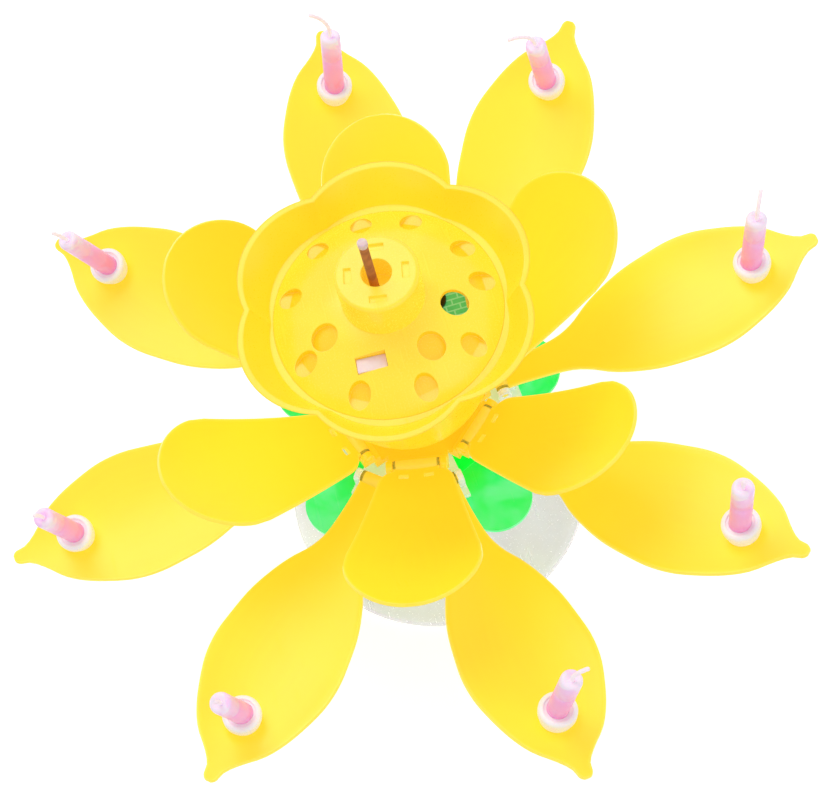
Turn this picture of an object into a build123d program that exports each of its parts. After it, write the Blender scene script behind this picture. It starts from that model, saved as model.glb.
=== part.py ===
from build123d import *
import math
import os

# A musical birthday candle: a lotus flower on a turning stand. Eight long petals each carry a
# small candle, six short petals stand round a lobed bowl, and a seed plate closes the bowl over
# the sounder, the cells and the small motor that turns the flower.
# Origin at the centre of the face that the stand rests on, +Z up, the front towards -Y.
# All lengths are in millimetres and all angles in degrees.

# Values shared by many pieces
overrun = 1.0                  # how far a cut runs past the face that it starts from
running_clearance = 0.05       # radial gap of a part that turns on a pin or post
seat_clearance = 0.02          # radial gap of a part that is pressed or glued into its seat
side_gap = 0.3                 # gap between a moving part and what stands beside it

# Stand
stand_foot_radius = 39.0
stand_foot_edge = 3.0          # height of the upright edge of the foot
stand_neck_radius = 16.0
stand_neck_base = 17.0         # height at which the flare of the foot meets the neck
stand_flare_sag = 3.4          # how far the flare sinks below a straight slope
stand_height = 25.0
stand_wall = 1.8
stand_hub_radius = 7.0
stand_hub_base = 9.0
stand_hub_floor = 2.0
stand_rib_thickness = 1.2
stand_rib_base = 2.0           # the ribs stay this far above the table
stand_rib_count = 6

# Post that the flower turns on
post_radius = 4.0
post_collar_radius = 7.0
post_collar_thickness = 1.5
post_shoulder_height = 75.0    # the fixed gear sits on this shoulder
gear_seat_radius = 2.5
gear_seat_length = 3.8
post_screw_radius = 1.25
post_screw_length = 11.0
post_screw_head_radius = 2.8
post_screw_head_height = 1.6

# Gear train
gear_module = 0.4
pressure_angle = 20.0
tooth_addendum_share = 0.85    # of the module
tooth_dedendum_share = 1.2     # of the module
tooth_backlash = 0.12
fixed_gear_teeth = 42
idler_pinion_teeth = 14
idler_wheel_teeth = 35
motor_pinion_teeth = 14
fixed_gear_width = 3.0
wheel_width = 2.5
wheel_gap = 0.4                # between the fixed gear and the wheel that passes over it
idler_pin_radius = 1.2
idler_boss_radius = 2.1
motor_azimuth = 40.0
motor_offset = 10.0            # distance of the motor's axis from the flower's axis

# Calyx
calyx_hub_radius = 6.6
calyx_hub_top = 47.0
calyx_floor_radius = 9.0
calyx_waist_radius = 14.5
calyx_waist_height = 33.0
calyx_rim_radius = 20.5
calyx_rim_height = 43.6
calyx_wall = 1.4
sepal_azimuths = [9.0, 79.0, 146.0, 214.0, 295.5]
sepal_reach = 37.8
sepal_root = 18.0
sepal_root_half_width = 7.2
sepal_end_radius = 8.8
sepal_thickness = 1.1
sepal_tip_height = 45.0        # lower face of the sepals at their tips
sepal_dish_radius = 380.0      # the sepals follow a very shallow dish

# Outer petals
outer_petal_count = 8
outer_azimuth = 2.96
outer_hinge_height = 52.0
outer_hinge_radius = 21.5
outer_length = 83.5
outer_half_width = 16.1
outer_dip = 2.0                # how far the blade sinks below its chord
outer_chord = 66.94            # from the hinge to the candle, where the blade meets its chord again
outer_cup_radius = 60.0        # crosswise radius of the blade
outer_root_half_width = 3.4
outer_root_length = 4.4
outer_tip_radius = 1.8
# Edge of the blade: shares of its length and of its half width
outer_edge_shares = [
    (0.14, 0.25), (0.21, 0.31), (0.26, 0.42), (0.31, 0.59), (0.37, 0.74), (0.45, 0.88), (0.54, 0.96),
    (0.61, 0.995), (0.68, 0.965), (0.75, 0.86), (0.82, 0.71), (0.875, 0.53), (0.92, 0.29), (0.955, 0.145),
]
outer_rest_angles = [9.1, 16.8, 10.0, 2.2, -3.9, 5.6, 7.0, 12.3]
outer_sway_angles = [0.2, 3.1, -6.3, -1.4, 1.1, 1.7, 5.1, -2.1]
outer_roll_angles = [0.7, 0.5, -6.7, 14.3, 7.9, 2.0, 12.2, 2.0]

# Inner petals
inner_petal_count = 6
inner_azimuth = 77.61
inner_hinge_radius = 17.5
inner_hinge_height = 56.5
inner_length = 54.4
inner_end_radius = 15.7
inner_dip = 2.2
inner_cup_radius = 45.0
inner_root_half_width = 5.6
inner_root_length = 2.2
inner_shoulder_length = 7.0
inner_shoulder_half_width = 9.3
inner_shoulder_round_share = 0.8    # how far the shoulder fills its corner
inner_slot_length = 1.3
inner_slot_width = 2.4
inner_slot_distance = 4.2
inner_slot_offset = 3.0
inner_rest_angles = [31.5, 39.4, 40.1, 33.4, 35.4, 39.5]
inner_sway_angles = [3.9, 7.0, -4.2, 0.7, 0.8, 1.7]

# Hinges of both kinds of petal
blade_thickness = 0.9
barrel_radius = 1.5
trunnion_radius = 0.8
trunnion_length = 1.5
lug_thickness = 1.4
lug_radius = 1.6
stop_distance = 1.8            # from the hinge axis to the near face of the stop
stop_gap = 0.1                 # between a petal at rest and its stop
outer_stop_thickness = 1.4
inner_stop_thickness = 1.0
stop_side_gap = 0.6            # between the end of the stop and the lug

# Rings that carry the hinges
ring_thickness = 2.0
outer_ring_radius = 13.4
outer_arm_front = 4.0          # how far an arm runs out beyond the hinge axis
inner_ring_radius = 12.8
inner_ring_gap = 1.2           # between the two rings
inner_spacer_radius = 9.0
inner_riser_back = 3.0         # from the hinge axis back to the riser's inner face
inner_riser_front = 1.3
inner_shelf_thickness = 0.9

# Candles, measured from the blade's chord at the candle
holder_height = 5.2
holder_foot_radius = 3.9
holder_foot_height = 2.2
holder_rim_radius = 4.5
holder_rim_round = 0.9
holder_dish_radius = 3.3
holder_dish_depth = 0.5
holder_stub_radius = 2.0
holder_head_radius = 2.8
holder_head_height = 0.7
candle_radius = 2.5
candle_above = 19.2            # length of the candle above its holder
candle_below = 3.6             # length of the candle inside its holder
candle_round = 0.9
candle_lean_angles = [11.7, 7.9, 12.9, 11.4, 4.6, 15.0, 9.4, 12.2]
wick_radius = 0.5
wick_root = 3.0
wick_straight = 1.0
wick_lengths = [8.0, 10.0, 11.0, 5.0, 4.0, 3.0, 6.5, 3.5]
wick_bend_angles = [74.0, 95.0, 60.0, 35.0, 30.0, 20.0, 70.0, 25.0]
wick_turn_angles = [60.0, 129.0, 93.0, 20.0, 10.0, -40.0, 82.0, -60.0]

# Centre bowl: its outer face, from the bottom up
bowl_wall = 1.1
bowl_lobe_count = 6
bowl_foot_radius = 10.8
bowl_shoulder_height = 62.0
bowl_shoulder_radius = 15.4
bowl_waist_height = 76.0
bowl_waist_radius = 20.8
bowl_flank_height = 91.0
bowl_flank_radius = 24.2
bowl_throat_height = 101.0
bowl_throat_radius = 27.0
bowl_throat_swell = 1.0        # how far the lobes stand out at the throat
bowl_rim_height = 110.2
bowl_rim_notch_radius = 31.0
bowl_rim_swell = 3.6           # how far the lobes stand out at the rim
bowl_floor_height = 72.0
bowl_floor_thickness = 1.6
bowl_sleeve_radius = 6.0
bowl_sleeve_gap = 0.2          # between the sleeve's foot and the calyx hub
bowl_sleeve_play = 0.5         # between the sleeve's head and the fixed gear
bowl_ledge_thickness = 1.3
bowl_ledge_width = 2.0

# Seed plate
plate_radius = 26.0
plate_edge_height = 102.6
plate_rise = 9.0
plate_thickness = 1.2
seed_hole_half_length = 2.8    # outwards from the flower's axis
seed_hole_half_width = 2.5
seed_hole_ring_radius = 21.8
seed_hole_azimuths = [-1.0, -43.0, -81.0, -120.0, -159.0, 156.0, 121.0, 91.0, 61.0, 24.0]
large_hole_radius = 3.1
large_hole_ring_radius = 15.5
large_hole_azimuths = [-63.0, -163.0]
open_hole_azimuth = -20.0      # the one hole that goes right through the plate
pocket_depth = 1.6             # depth of the blind holes below the plate's face
pocket_floor = 0.8
pocket_wall = 0.8
boss_radius = 9.3
boss_top = 121.5
boss_wall = 1.2
boss_round = 0.9
boss_slot_count = 4
boss_slot_azimuth = 79.0
boss_slot_ring_radius = 6.3
boss_slot_length = 3.8
boss_slot_width = 1.6
boss_slot_depth = 0.7
fuse_cup_radius = 3.4
fuse_cup_wall = 1.0
fuse_cup_floor = 114.4
window_length = 6.8
window_width = 3.5
window_turn = -4.0
window_ring_radius = 15.1
window_azimuth = -115.4
window_wall = 0.9
window_depth = 6.0             # depth of the sensor's shaft below the crown of the plate

# Fuse
fuse_radius = 1.0
fuse_offset = 1.1              # the fuse stands this far to the left of the centre
fuse_top = 135.0
fuse_tip_wall = 0.12
fuse_tip_cover = 1.0
fuse_tip_height = 1.5
fuse_tip_round = 0.4

# Gear cover, cells, motor and circuit under the seed plate
cover_height = 82.0
cover_thickness = 1.4
cover_radius = 19.0
pillar_radius = 2.0
pillar_ring_radius = 16.0
pillar_turns = [45.0, 120.0, 190.0]    # from the motor, about the flower's axis
cover_screw_radius = 0.8
cover_screw_length = 6.0
cover_screw_head_radius = 1.6
cover_screw_head_height = 1.0
motor_radius = 5.0
motor_length = 12.0
motor_nose_radius = 1.5
motor_nose_length = 0.8
motor_shaft_radius = 0.5
motor_shaft_entry = 6.0
cell_radius = 5.8
cell_height = 5.4
cell_round = 0.5
cell_ring_radius = 11.5
cell_turns = [85.0, 155.0, 225.0]      # from the motor, about the flower's axis
clip_thickness = 0.3
clip_width = 4.0
board_height = 96.4
board_thickness = 1.2
board_length = 20.0
board_width = 12.0
board_centre_x = 10.5
board_centre_y = 2.5
standoff_radius = 1.2
standoff_inset = 2.0
chip_radius = 3.0
chip_height = 1.2
sounder_radius = 8.0
sounder_thickness = 0.5
sounder_height = 98.0
sounder_seat_wall = 1.0
sounder_centre_x = -9.5
sounder_centre_y = 7.0
sensor_play = 0.1
sensor_sink = 0.9              # depth of the sensor's face below the plate at the window
sensor_height = 3.2

# Heights that follow from the stack of pieces on the post
post_base = stand_hub_base + stand_hub_floor
collar_top = stand_height + post_collar_thickness
calyx_base = collar_top + side_gap
outer_ring_base = calyx_hub_top
outer_ring_top = outer_ring_base + ring_thickness
inner_ring_base = outer_ring_top + inner_ring_gap
inner_ring_top = inner_ring_base + ring_thickness
bowl_base = inner_ring_top
bowl_floor_top = bowl_floor_height + bowl_floor_thickness
sleeve_base = calyx_hub_top + bowl_sleeve_gap
sleeve_top = post_shoulder_height - bowl_sleeve_play
wheel_base = post_shoulder_height + fixed_gear_width + wheel_gap
wheel_top = wheel_base + wheel_width
cover_top = cover_height + cover_thickness
plate_sphere_radius = (plate_radius ** 2 + plate_rise ** 2) / (2 * plate_rise)
plate_sphere_height = plate_edge_height + plate_rise - plate_sphere_radius
idler_distance = gear_module * (fixed_gear_teeth + idler_pinion_teeth) / 2
motor_distance = gear_module * (idler_wheel_teeth + motor_pinion_teeth) / 2

BOTTOM = (Align.CENTER, Align.CENTER, Align.MIN)
TOP = (Align.CENTER, Align.CENTER, Align.MAX)


def disc(radius, low, high):
    """Round bar on the Z axis between two heights."""
    return Pos(0, 0, low) * Cylinder(radius, high - low, align=BOTTOM)


def tube(outer, inner, low, high):
    return disc(outer, low, high) - disc(inner, low - overrun, high + overrun)


def block(x_low, x_high, half_width, z_low, z_high):
    """Box centred on the XZ plane, between two places along X and two heights."""
    place = Pos((x_low + x_high) / 2, 0, z_low)
    return place * Box(x_high - x_low, 2 * half_width, z_high - z_low, align=BOTTOM)


def cross_bar(radius, length):
    """Round bar along Y, centred on the origin."""
    return Rot(90, 0, 0) * Cylinder(radius, length)


def polar(radius, azimuth, height=0):
    """Place at a radius and an azimuth about the flower's axis."""
    turn = math.radians(azimuth)
    return Pos(radius * math.cos(turn), radius * math.sin(turn), height)


def save(piece, name):
    export_step(piece, f"parts/{name}.step")


def stand_shape(inset):
    """Turned shape of the stand, with all faces but the bottom moved inwards by the inset."""
    foot = stand_foot_radius - inset
    neck = stand_neck_radius - inset
    edge = stand_foot_edge - inset
    shoulder = stand_neck_base - inset
    top = stand_height - inset
    run = math.hypot(foot - neck, shoulder - edge)
    sag_x = stand_flare_sag * (shoulder - edge) / run
    sag_z = stand_flare_sag * (foot - neck) / run
    middle = ((foot + neck) / 2 - sag_x, (edge + shoulder) / 2 - sag_z)
    outline = [
        Line((0, 0), (foot, 0)),
        Line((foot, 0), (foot, edge)),
        ThreePointArc((foot, edge), middle, (neck, shoulder)),
        Line((neck, shoulder), (neck, top)),
        Line((neck, top), (0, top)),
        Line((0, top), (0, 0)),
    ]
    return revolve(Plane.XZ * make_face(Wire(outline)), Axis.Z)


def base_stand():
    """Hollow flared stand with a ribbed hub for the post."""
    hollow = stand_shape(stand_wall)
    ribs = disc(stand_hub_radius, stand_hub_base, stand_height)
    for index in range(stand_rib_count):
        rib = block(0, stand_foot_radius, stand_rib_thickness / 2, stand_rib_base, stand_height)
        turned_rib = Rot(0, 0, index * 360 / stand_rib_count) * rib
        ribs = ribs + turned_rib
    clear = disc(stand_hub_radius, 0, stand_hub_base)
    stand = (stand_shape(0) - hollow) + ((ribs - clear) & hollow)
    stand = stand - disc(post_radius + seat_clearance, post_base, stand_height + overrun)
    return stand - disc(post_screw_radius + side_gap, 0, stand_height)


def centre_post():
    """Steel post: collar on the stand, long bearing for the flower, seat for the fixed gear."""
    post = disc(post_radius, post_base, post_shoulder_height)
    post = post + disc(post_collar_radius, stand_height, collar_top)
    post = post + disc(gear_seat_radius, post_shoulder_height, post_shoulder_height + gear_seat_length)
    return post - disc(post_screw_radius + seat_clearance, post_base - overrun,
                       stand_hub_base + post_screw_length + overrun)


def post_screw():
    shank = disc(post_screw_radius, stand_hub_base, stand_hub_base + post_screw_length)
    head = disc(post_screw_head_radius, stand_hub_base - post_screw_head_height, stand_hub_base)
    return head + shank


def involute(angle):
    return math.tan(angle) - angle


def gear(teeth, width, bore, tooth_azimuth):
    """Spur gear on z = 0 with one tooth centred at the given azimuth. A bore of 0 leaves it solid."""
    pitch_radius = gear_module * teeth / 2
    pressure = math.radians(pressure_angle)
    base_radius = pitch_radius * math.cos(pressure)
    tip_radius = pitch_radius + gear_module * tooth_addendum_share
    root_radius = pitch_radius - gear_module * tooth_dedendum_share
    start_radius = max(base_radius, root_radius)
    pitch_half = math.pi / (2 * teeth) - tooth_backlash / (2 * pitch_radius)
    flank = []
    for share in (0, 0.5, 1):
        radius = start_radius + (tip_radius - start_radius) * share
        rolled = math.acos(min(1, base_radius / radius))
        flank.append((radius, pitch_half + involute(pressure) - involute(rolled)))
    if root_radius < base_radius:
        flank.insert(0, (root_radius, flank[0][1]))
    points = []
    for tooth in range(teeth):
        centre = math.radians(tooth_azimuth) + 2 * math.pi * tooth / teeth
        for radius, half in flank:
            points.append((radius * math.cos(centre - half), radius * math.sin(centre - half)))
        for radius, half in reversed(flank):
            points.append((radius * math.cos(centre + half), radius * math.sin(centre + half)))
    blank = extrude(make_face(Polyline(*points, close=True)), width)
    if bore > 0:
        blank = blank - disc(bore, -overrun, width + overrun)
    return blank


def idler_azimuth():
    """The idler meshes with the fixed gear and with the motor's pinion."""
    across = idler_distance ** 2 + motor_offset ** 2 - motor_distance ** 2
    return motor_azimuth - math.degrees(math.acos(across / (2 * idler_distance * motor_offset)))


def idler_axis():
    return polar(idler_distance, idler_azimuth())


def motor_axis():
    return polar(motor_offset, motor_azimuth)


def idler_to_motor_azimuth():
    step = motor_axis().position - idler_axis().position
    return math.degrees(math.atan2(step.Y, step.X))


def fixed_gear():
    """Gear pressed on the post, which the idler rolls round."""
    wheel = gear(fixed_gear_teeth, fixed_gear_width, gear_seat_radius + seat_clearance, idler_azimuth())
    return Pos(0, 0, post_shoulder_height) * wheel


def idler_gear():
    """Small pinion and large wheel in one piece, loose on a pin of the bowl's floor."""
    bore = idler_pin_radius + running_clearance
    pinion_azimuth = idler_azimuth() + 180 + 180 / idler_pinion_teeth
    pinion = gear(idler_pinion_teeth, wheel_base - post_shoulder_height, bore, pinion_azimuth)
    wheel = gear(idler_wheel_teeth, wheel_width, bore, idler_to_motor_azimuth())
    wheel = Pos(0, 0, wheel_base - post_shoulder_height) * wheel
    return idler_axis() * Pos(0, 0, post_shoulder_height) * (pinion + wheel)


def motor_pinion():
    """Pinion with the motor's shaft."""
    pinion_azimuth = idler_to_motor_azimuth() + 180 + 180 / motor_pinion_teeth
    pinion = Pos(0, 0, wheel_base) * gear(motor_pinion_teeth, wheel_width, 0, pinion_azimuth)
    shaft = disc(motor_shaft_radius, wheel_base, cover_top + motor_shaft_entry)
    return motor_axis() * (pinion + shaft)


def sepal():
    """One leaf along +X: a narrow root and a broad round end."""
    end_centre = sepal_reach - sepal_end_radius
    reach = math.hypot(end_centre - sepal_root, sepal_root_half_width)
    slope = math.asin(sepal_end_radius / reach)
    slope = slope - math.atan2(sepal_root_half_width, end_centre - sepal_root)
    touch = (end_centre - sepal_end_radius * math.sin(slope), sepal_end_radius * math.cos(slope))
    outline = [
        Line((sepal_root, -sepal_root_half_width), (sepal_root, sepal_root_half_width)),
        Line((sepal_root, sepal_root_half_width), touch),
        ThreePointArc(touch, (sepal_reach, 0), (touch[0], -touch[1])),
        Line((touch[0], -touch[1]), (sepal_root, -sepal_root_half_width)),
    ]
    prism = Pos(0, 0, calyx_waist_height) * extrude(make_face(Wire(outline)), outer_hinge_height)
    centre_height = sepal_tip_height + math.sqrt(sepal_dish_radius ** 2 - sepal_reach ** 2)
    dish = Pos(0, 0, centre_height)
    return (prism & dish * Sphere(sepal_dish_radius)) - dish * Sphere(sepal_dish_radius - sepal_thickness)


def calyx():
    """Green cup with five sepals, whose hub turns on the post."""
    wall = calyx_wall
    hub_bore = post_radius + running_clearance
    points = [
        (hub_bore, calyx_base),
        (calyx_floor_radius, calyx_base),
        (calyx_waist_radius, calyx_waist_height),
        (calyx_rim_radius, calyx_rim_height),
        (calyx_rim_radius - wall, calyx_rim_height),
        (calyx_waist_radius - wall, calyx_waist_height),
        (calyx_floor_radius - wall, calyx_base + wall),
        (calyx_hub_radius, calyx_base + wall),
        (calyx_hub_radius, calyx_hub_top),
        (hub_bore, calyx_hub_top),
    ]
    cup = revolve(Plane.XZ * make_face(Polyline(*points, close=True)), Axis.Z)
    leaf = sepal()
    for azimuth in sepal_azimuths:
        cup = cup + Rot(0, 0, azimuth) * leaf
    return cup


def hinge_station(half_length, lie, dip, chord, stop_thickness, low):
    """Two lugs and the stop between them, with the hinge axis along Y through the origin.

    The lie is the turn that brings a level petal to the way it rests."""
    near = half_length + side_gap
    far = near + lug_thickness
    middle = (near + far) / 2
    lug = cross_bar(lug_radius, lug_thickness) + block(-lug_radius, lug_radius, lug_thickness / 2, low, 0)
    lugs = Pos(0, middle, 0) * lug + Pos(0, -middle, 0) * lug
    # The stop ends just below the lower face of the petal at rest.
    stop_end = stop_distance + stop_thickness
    drop = 4 * dip * stop_end * (chord - stop_end) / chord ** 2
    face = blade_thickness / 2 + stop_gap + drop
    stop_half_width = half_length - stop_side_gap
    stop = block(stop_distance, stop_end, stop_half_width, low, 2 * stop_end)
    above = lie * block(-stop_end, 3 * stop_end, 2 * half_length, -face, 4 * stop_end)
    bore = cross_bar(trunnion_radius + running_clearance, 2 * (far + overrun))
    return (lugs - bore) + (stop - above)


def outer_place(index):
    """Place of an outer petal's hinge, turned to the petal's direction."""
    azimuth = outer_azimuth + index * 360 / outer_petal_count
    return polar(outer_hinge_radius, azimuth, outer_hinge_height) * Rot(0, 0, azimuth + outer_sway_angles[index])


def inner_place(index):
    """Place of an inner petal's hinge, turned to the petal's direction."""
    azimuth = inner_azimuth - index * 360 / inner_petal_count
    return polar(inner_hinge_radius, azimuth, inner_hinge_height) * Rot(0, 0, azimuth + inner_sway_angles[index])


def outer_lie(index):
    """A long petal at rest: raised by its rest angle and rolled a little about its length."""
    return Rot(0, -outer_rest_angles[index], 0) * Rot(-outer_roll_angles[index], 0, 0)


def inner_lie(index):
    return Rot(0, -inner_rest_angles[index], 0)


def outer_petal_ring():
    """Ring with eight arms; each arm carries the lugs and the stop of one long petal."""
    ring = disc(outer_ring_radius, outer_ring_base, outer_ring_top)
    half_arm = outer_root_half_width + side_gap + lug_thickness
    low = outer_ring_base - outer_hinge_height
    high = outer_ring_top - outer_hinge_height
    for index in range(outer_petal_count):
        arm = block(inner_spacer_radius - outer_hinge_radius, outer_arm_front, half_arm, low, high)
        station = hinge_station(outer_root_half_width, outer_lie(index), outer_dip, outer_chord,
                                outer_stop_thickness, low)
        ring = ring + outer_place(index) * (arm + station)
    return ring - disc(bowl_sleeve_radius + seat_clearance, outer_ring_base - overrun, outer_ring_top + overrun)


def inner_petal_ring():
    """Ring on a spacer, with six stepped arms that reach over the outer hinges."""
    ring = disc(inner_ring_radius, inner_ring_base, inner_ring_top)
    ring = ring + disc(inner_spacer_radius, outer_ring_top, inner_ring_top)
    half_arm = inner_root_half_width + side_gap + lug_thickness
    low = inner_ring_base - inner_hinge_height
    high = inner_ring_top - inner_hinge_height
    shelf_top = -(barrel_radius + side_gap)
    shelf_low = shelf_top - inner_shelf_thickness
    shelf_front = stop_distance + inner_stop_thickness
    for index in range(inner_petal_count):
        arm = block(inner_spacer_radius - inner_hinge_radius, -inner_riser_front, half_arm, low, high)
        riser = block(-inner_riser_back, -inner_riser_front, half_arm, low, shelf_top)
        shelf = block(-inner_riser_back, lug_radius, half_arm, shelf_low, shelf_top)
        shelf = shelf + block(0, shelf_front, inner_root_half_width - stop_side_gap, shelf_low, shelf_top)
        station = hinge_station(inner_root_half_width, inner_lie(index), inner_dip, inner_length,
                                inner_stop_thickness, shelf_low)
        ring = ring + inner_place(index) * (arm + riser + shelf + station)
    return ring - disc(bowl_sleeve_radius + seat_clearance, outer_ring_top - overrun, inner_ring_top + overrun)


def blade_bodies(chord, dip, cup_radius):
    """Two nested rings whose lower walls are the lower and the upper face of a petal."""
    long_radius = (chord / 2) ** 2 / (2 * dip) + dip / 2
    place = Pos(chord / 2, 0, long_radius - dip) * Rot(90, 0, 0)
    lower = place * Torus(long_radius - cup_radius, cup_radius + blade_thickness / 2)
    upper = place * Torus(long_radius - cup_radius, cup_radius - blade_thickness / 2)
    return lower, upper


def outer_bodies():
    return blade_bodies(outer_chord, outer_dip, outer_cup_radius)


def hinge_barrel(half_length):
    """Barrel along Y with a trunnion at each end."""
    return cross_bar(barrel_radius, 2 * half_length) + cross_bar(trunnion_radius, 2 * (half_length + trunnion_length))


def outer_outline():
    """Flat outline of a long petal along +X: slim root, broad middle and a small round tip."""
    side = [(outer_length * along, outer_half_width * across) for along, across in outer_edge_shares]
    root = (outer_root_length, outer_root_half_width)
    tip = (outer_length - outer_tip_radius, outer_tip_radius)
    left = [Line((0, outer_root_half_width), root), Spline([root] + side + [tip])]
    right = [mirror(curve, Plane.XZ).edge() for curve in left]
    end = ThreePointArc(tip, (outer_length, 0), (tip[0], -tip[1]))
    heel = Line((0, outer_root_half_width), (0, -outer_root_half_width))
    return make_face(Wire(left + right + [end, heel]))


def outer_blade():
    """Blade of a long petal along +X, with the hole for the candle holder."""
    lower, upper = outer_bodies()
    prism = extrude(outer_outline(), outer_half_width, both=True)
    hole = Pos(outer_chord, 0, 0) * Cylinder(holder_stub_radius + seat_clearance, outer_half_width)
    return (prism & lower) - upper - hole


def inner_outline():
    """Flat outline of a short petal along +X: round shoulders, and straight sides that touch a round end."""
    end_centre = inner_length - inner_end_radius
    run = end_centre - inner_shoulder_length
    slope = math.asin(inner_end_radius / math.hypot(run, inner_shoulder_half_width))
    slope = slope - math.atan2(inner_shoulder_half_width, run)
    touch = (end_centre - inner_end_radius * math.sin(slope), inner_end_radius * math.cos(slope))
    root = (inner_root_length, inner_root_half_width)
    shoulder = (inner_shoulder_length, inner_shoulder_half_width)
    rise = (shoulder[1] - root[1]) * inner_shoulder_round_share
    corner = (root[0] + (shoulder[0] - root[0]) * (1 - inner_shoulder_round_share), root[1] + rise)
    left = [Line((0, inner_root_half_width), root), Bezier(root, corner, shoulder), Line(shoulder, touch)]
    right = [mirror(curve, Plane.XZ).edge() for curve in left]
    end = ThreePointArc(touch, (inner_length, 0), (touch[0], -touch[1]))
    heel = Line((0, inner_root_half_width), (0, -inner_root_half_width))
    return make_face(Wire(left + right + [end, heel]))


def inner_petal():
    """Short petal with its hinge barrel and two small moulded slots at the root."""
    lower, upper = blade_bodies(inner_length, inner_dip, inner_cup_radius)
    prism = extrude(inner_outline(), inner_end_radius, both=True)
    blade = (prism & lower) - upper
    blade = blade + hinge_barrel(inner_root_half_width)
    for side in (-inner_slot_offset, inner_slot_offset):
        place = Pos(inner_slot_distance, side, 0)
        blade = blade - place * Box(inner_slot_length, inner_slot_width, inner_end_radius)
    return blade


def candle_place(index):
    """The candle's own frame on its petal: it leans outwards about the middle of its holder's top."""
    return Pos(outer_chord, 0, holder_height) * Rot(0, candle_lean_angles[index], 0)


def candle_holder(index):
    """Socket riveted through the petal, with a bore that follows its candle."""
    lower, upper = outer_bodies()
    foot = Pos(outer_chord, 0, 0) * Cylinder(holder_foot_radius, holder_foot_height, align=BOTTOM)
    foot = foot + Pos(outer_chord, 0, 0) * Cylinder(holder_foot_radius, holder_foot_height, align=TOP)
    rim = Cylinder(holder_rim_radius, holder_height - holder_foot_height, align=BOTTOM)
    rim = fillet(rim.edges().filter_by(GeomType.CIRCLE), holder_rim_round)
    holder = (foot & upper) + Pos(outer_chord, 0, holder_foot_height) * rim
    dish = Pos(outer_chord, 0, holder_height - holder_dish_depth)
    holder = holder - dish * Cylinder(holder_dish_radius, holder_dish_depth + overrun, align=BOTTOM)
    below = blade_thickness + holder_head_height
    shank = Pos(outer_chord, 0, -below) * Cylinder(holder_stub_radius, below + holder_foot_height, align=BOTTOM)
    head = Pos(outer_chord, 0, -below) * Cylinder(holder_head_radius, 2 * below, align=BOTTOM)
    holder = holder + shank + (head - lower)
    bore = Pos(0, 0, -candle_below) * Cylinder(candle_radius + seat_clearance, candle_above, align=BOTTOM)
    return holder - candle_place(index) * bore


def candle(index):
    """Wax candle with a rounded top and a hole for its wick."""
    wax = Pos(0, 0, -candle_below) * Cylinder(candle_radius, candle_below + candle_above, align=BOTTOM)
    wax = fillet(wax.edges().group_by(Axis.Z)[-1], candle_round)
    hole = Pos(0, 0, candle_above - wick_root) * Cylinder(wick_radius, wick_root + overrun, align=BOTTOM)
    return candle_place(index) * (wax - hole)


def wick(index):
    """Short wick: a straight root in the wax and a free end that curls to one side."""
    bend = math.radians(wick_bend_angles[index])
    radius = (wick_lengths[index] - wick_straight) / bend
    bend_height = candle_above + wick_straight
    straight = disc(wick_radius, candle_above - wick_root, bend_height)
    section = Pos(0, 0, bend_height) * Circle(wick_radius)
    curl = revolve(section, Axis((radius, 0, bend_height), (0, 1, 0)), wick_bend_angles[index])
    return candle_place(index) * Rot(0, 0, wick_turn_angles[index]) * (straight + curl)


def lobed_face(height, notch, lobe):
    """Flat outline of equal arcs that meet in shallow notches, a lobe behind each inner petal."""
    arcs = []
    step = 2 * math.pi / bowl_lobe_count
    first = math.radians(inner_azimuth) - step / 2
    for index in range(bowl_lobe_count):
        start = first + index * step
        points = []
        for turn, radius in ((start, notch), (start + step / 2, lobe), (start + step, notch)):
            points.append((radius * math.cos(turn), radius * math.sin(turn)))
        arcs.append(ThreePointArc(*points))
    return Pos(0, 0, height) * make_face(Wire(arcs))


def bowl_profile():
    """Height, notch radius and lobe radius of each section of the bowl's outer face."""
    return [
        (bowl_base, bowl_foot_radius, bowl_foot_radius),
        (bowl_shoulder_height, bowl_shoulder_radius, bowl_shoulder_radius),
        (bowl_waist_height, bowl_waist_radius, bowl_waist_radius),
        (bowl_flank_height, bowl_flank_radius, bowl_flank_radius),
        (bowl_throat_height, bowl_throat_radius, bowl_throat_radius + bowl_throat_swell),
        (bowl_rim_height, bowl_rim_notch_radius, bowl_rim_notch_radius + bowl_rim_swell),
    ]


def bowl_bodies():
    """Outer and inner body of the bowl's wall; the inner one is set in square to the slope."""
    profile = bowl_profile()
    inner_sections = []
    for index, (height, notch, lobe) in enumerate(profile):
        low = profile[max(index - 1, 0)]
        high = profile[min(index + 1, len(profile) - 1)]
        slant = math.atan2(high[1] - low[1], high[0] - low[0])
        shift_in = bowl_wall * math.cos(slant)
        shift_up = bowl_wall * math.sin(slant)
        inner_sections.append((height + shift_up, notch - shift_in, lobe - shift_in))
    first = inner_sections[0]
    inner_sections[0] = (bowl_base - overrun, first[1] - overrun, first[2] - overrun)
    outer = loft([lobed_face(*section) for section in profile])
    inner = loft([lobed_face(*section) for section in inner_sections])
    return outer, inner


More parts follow.
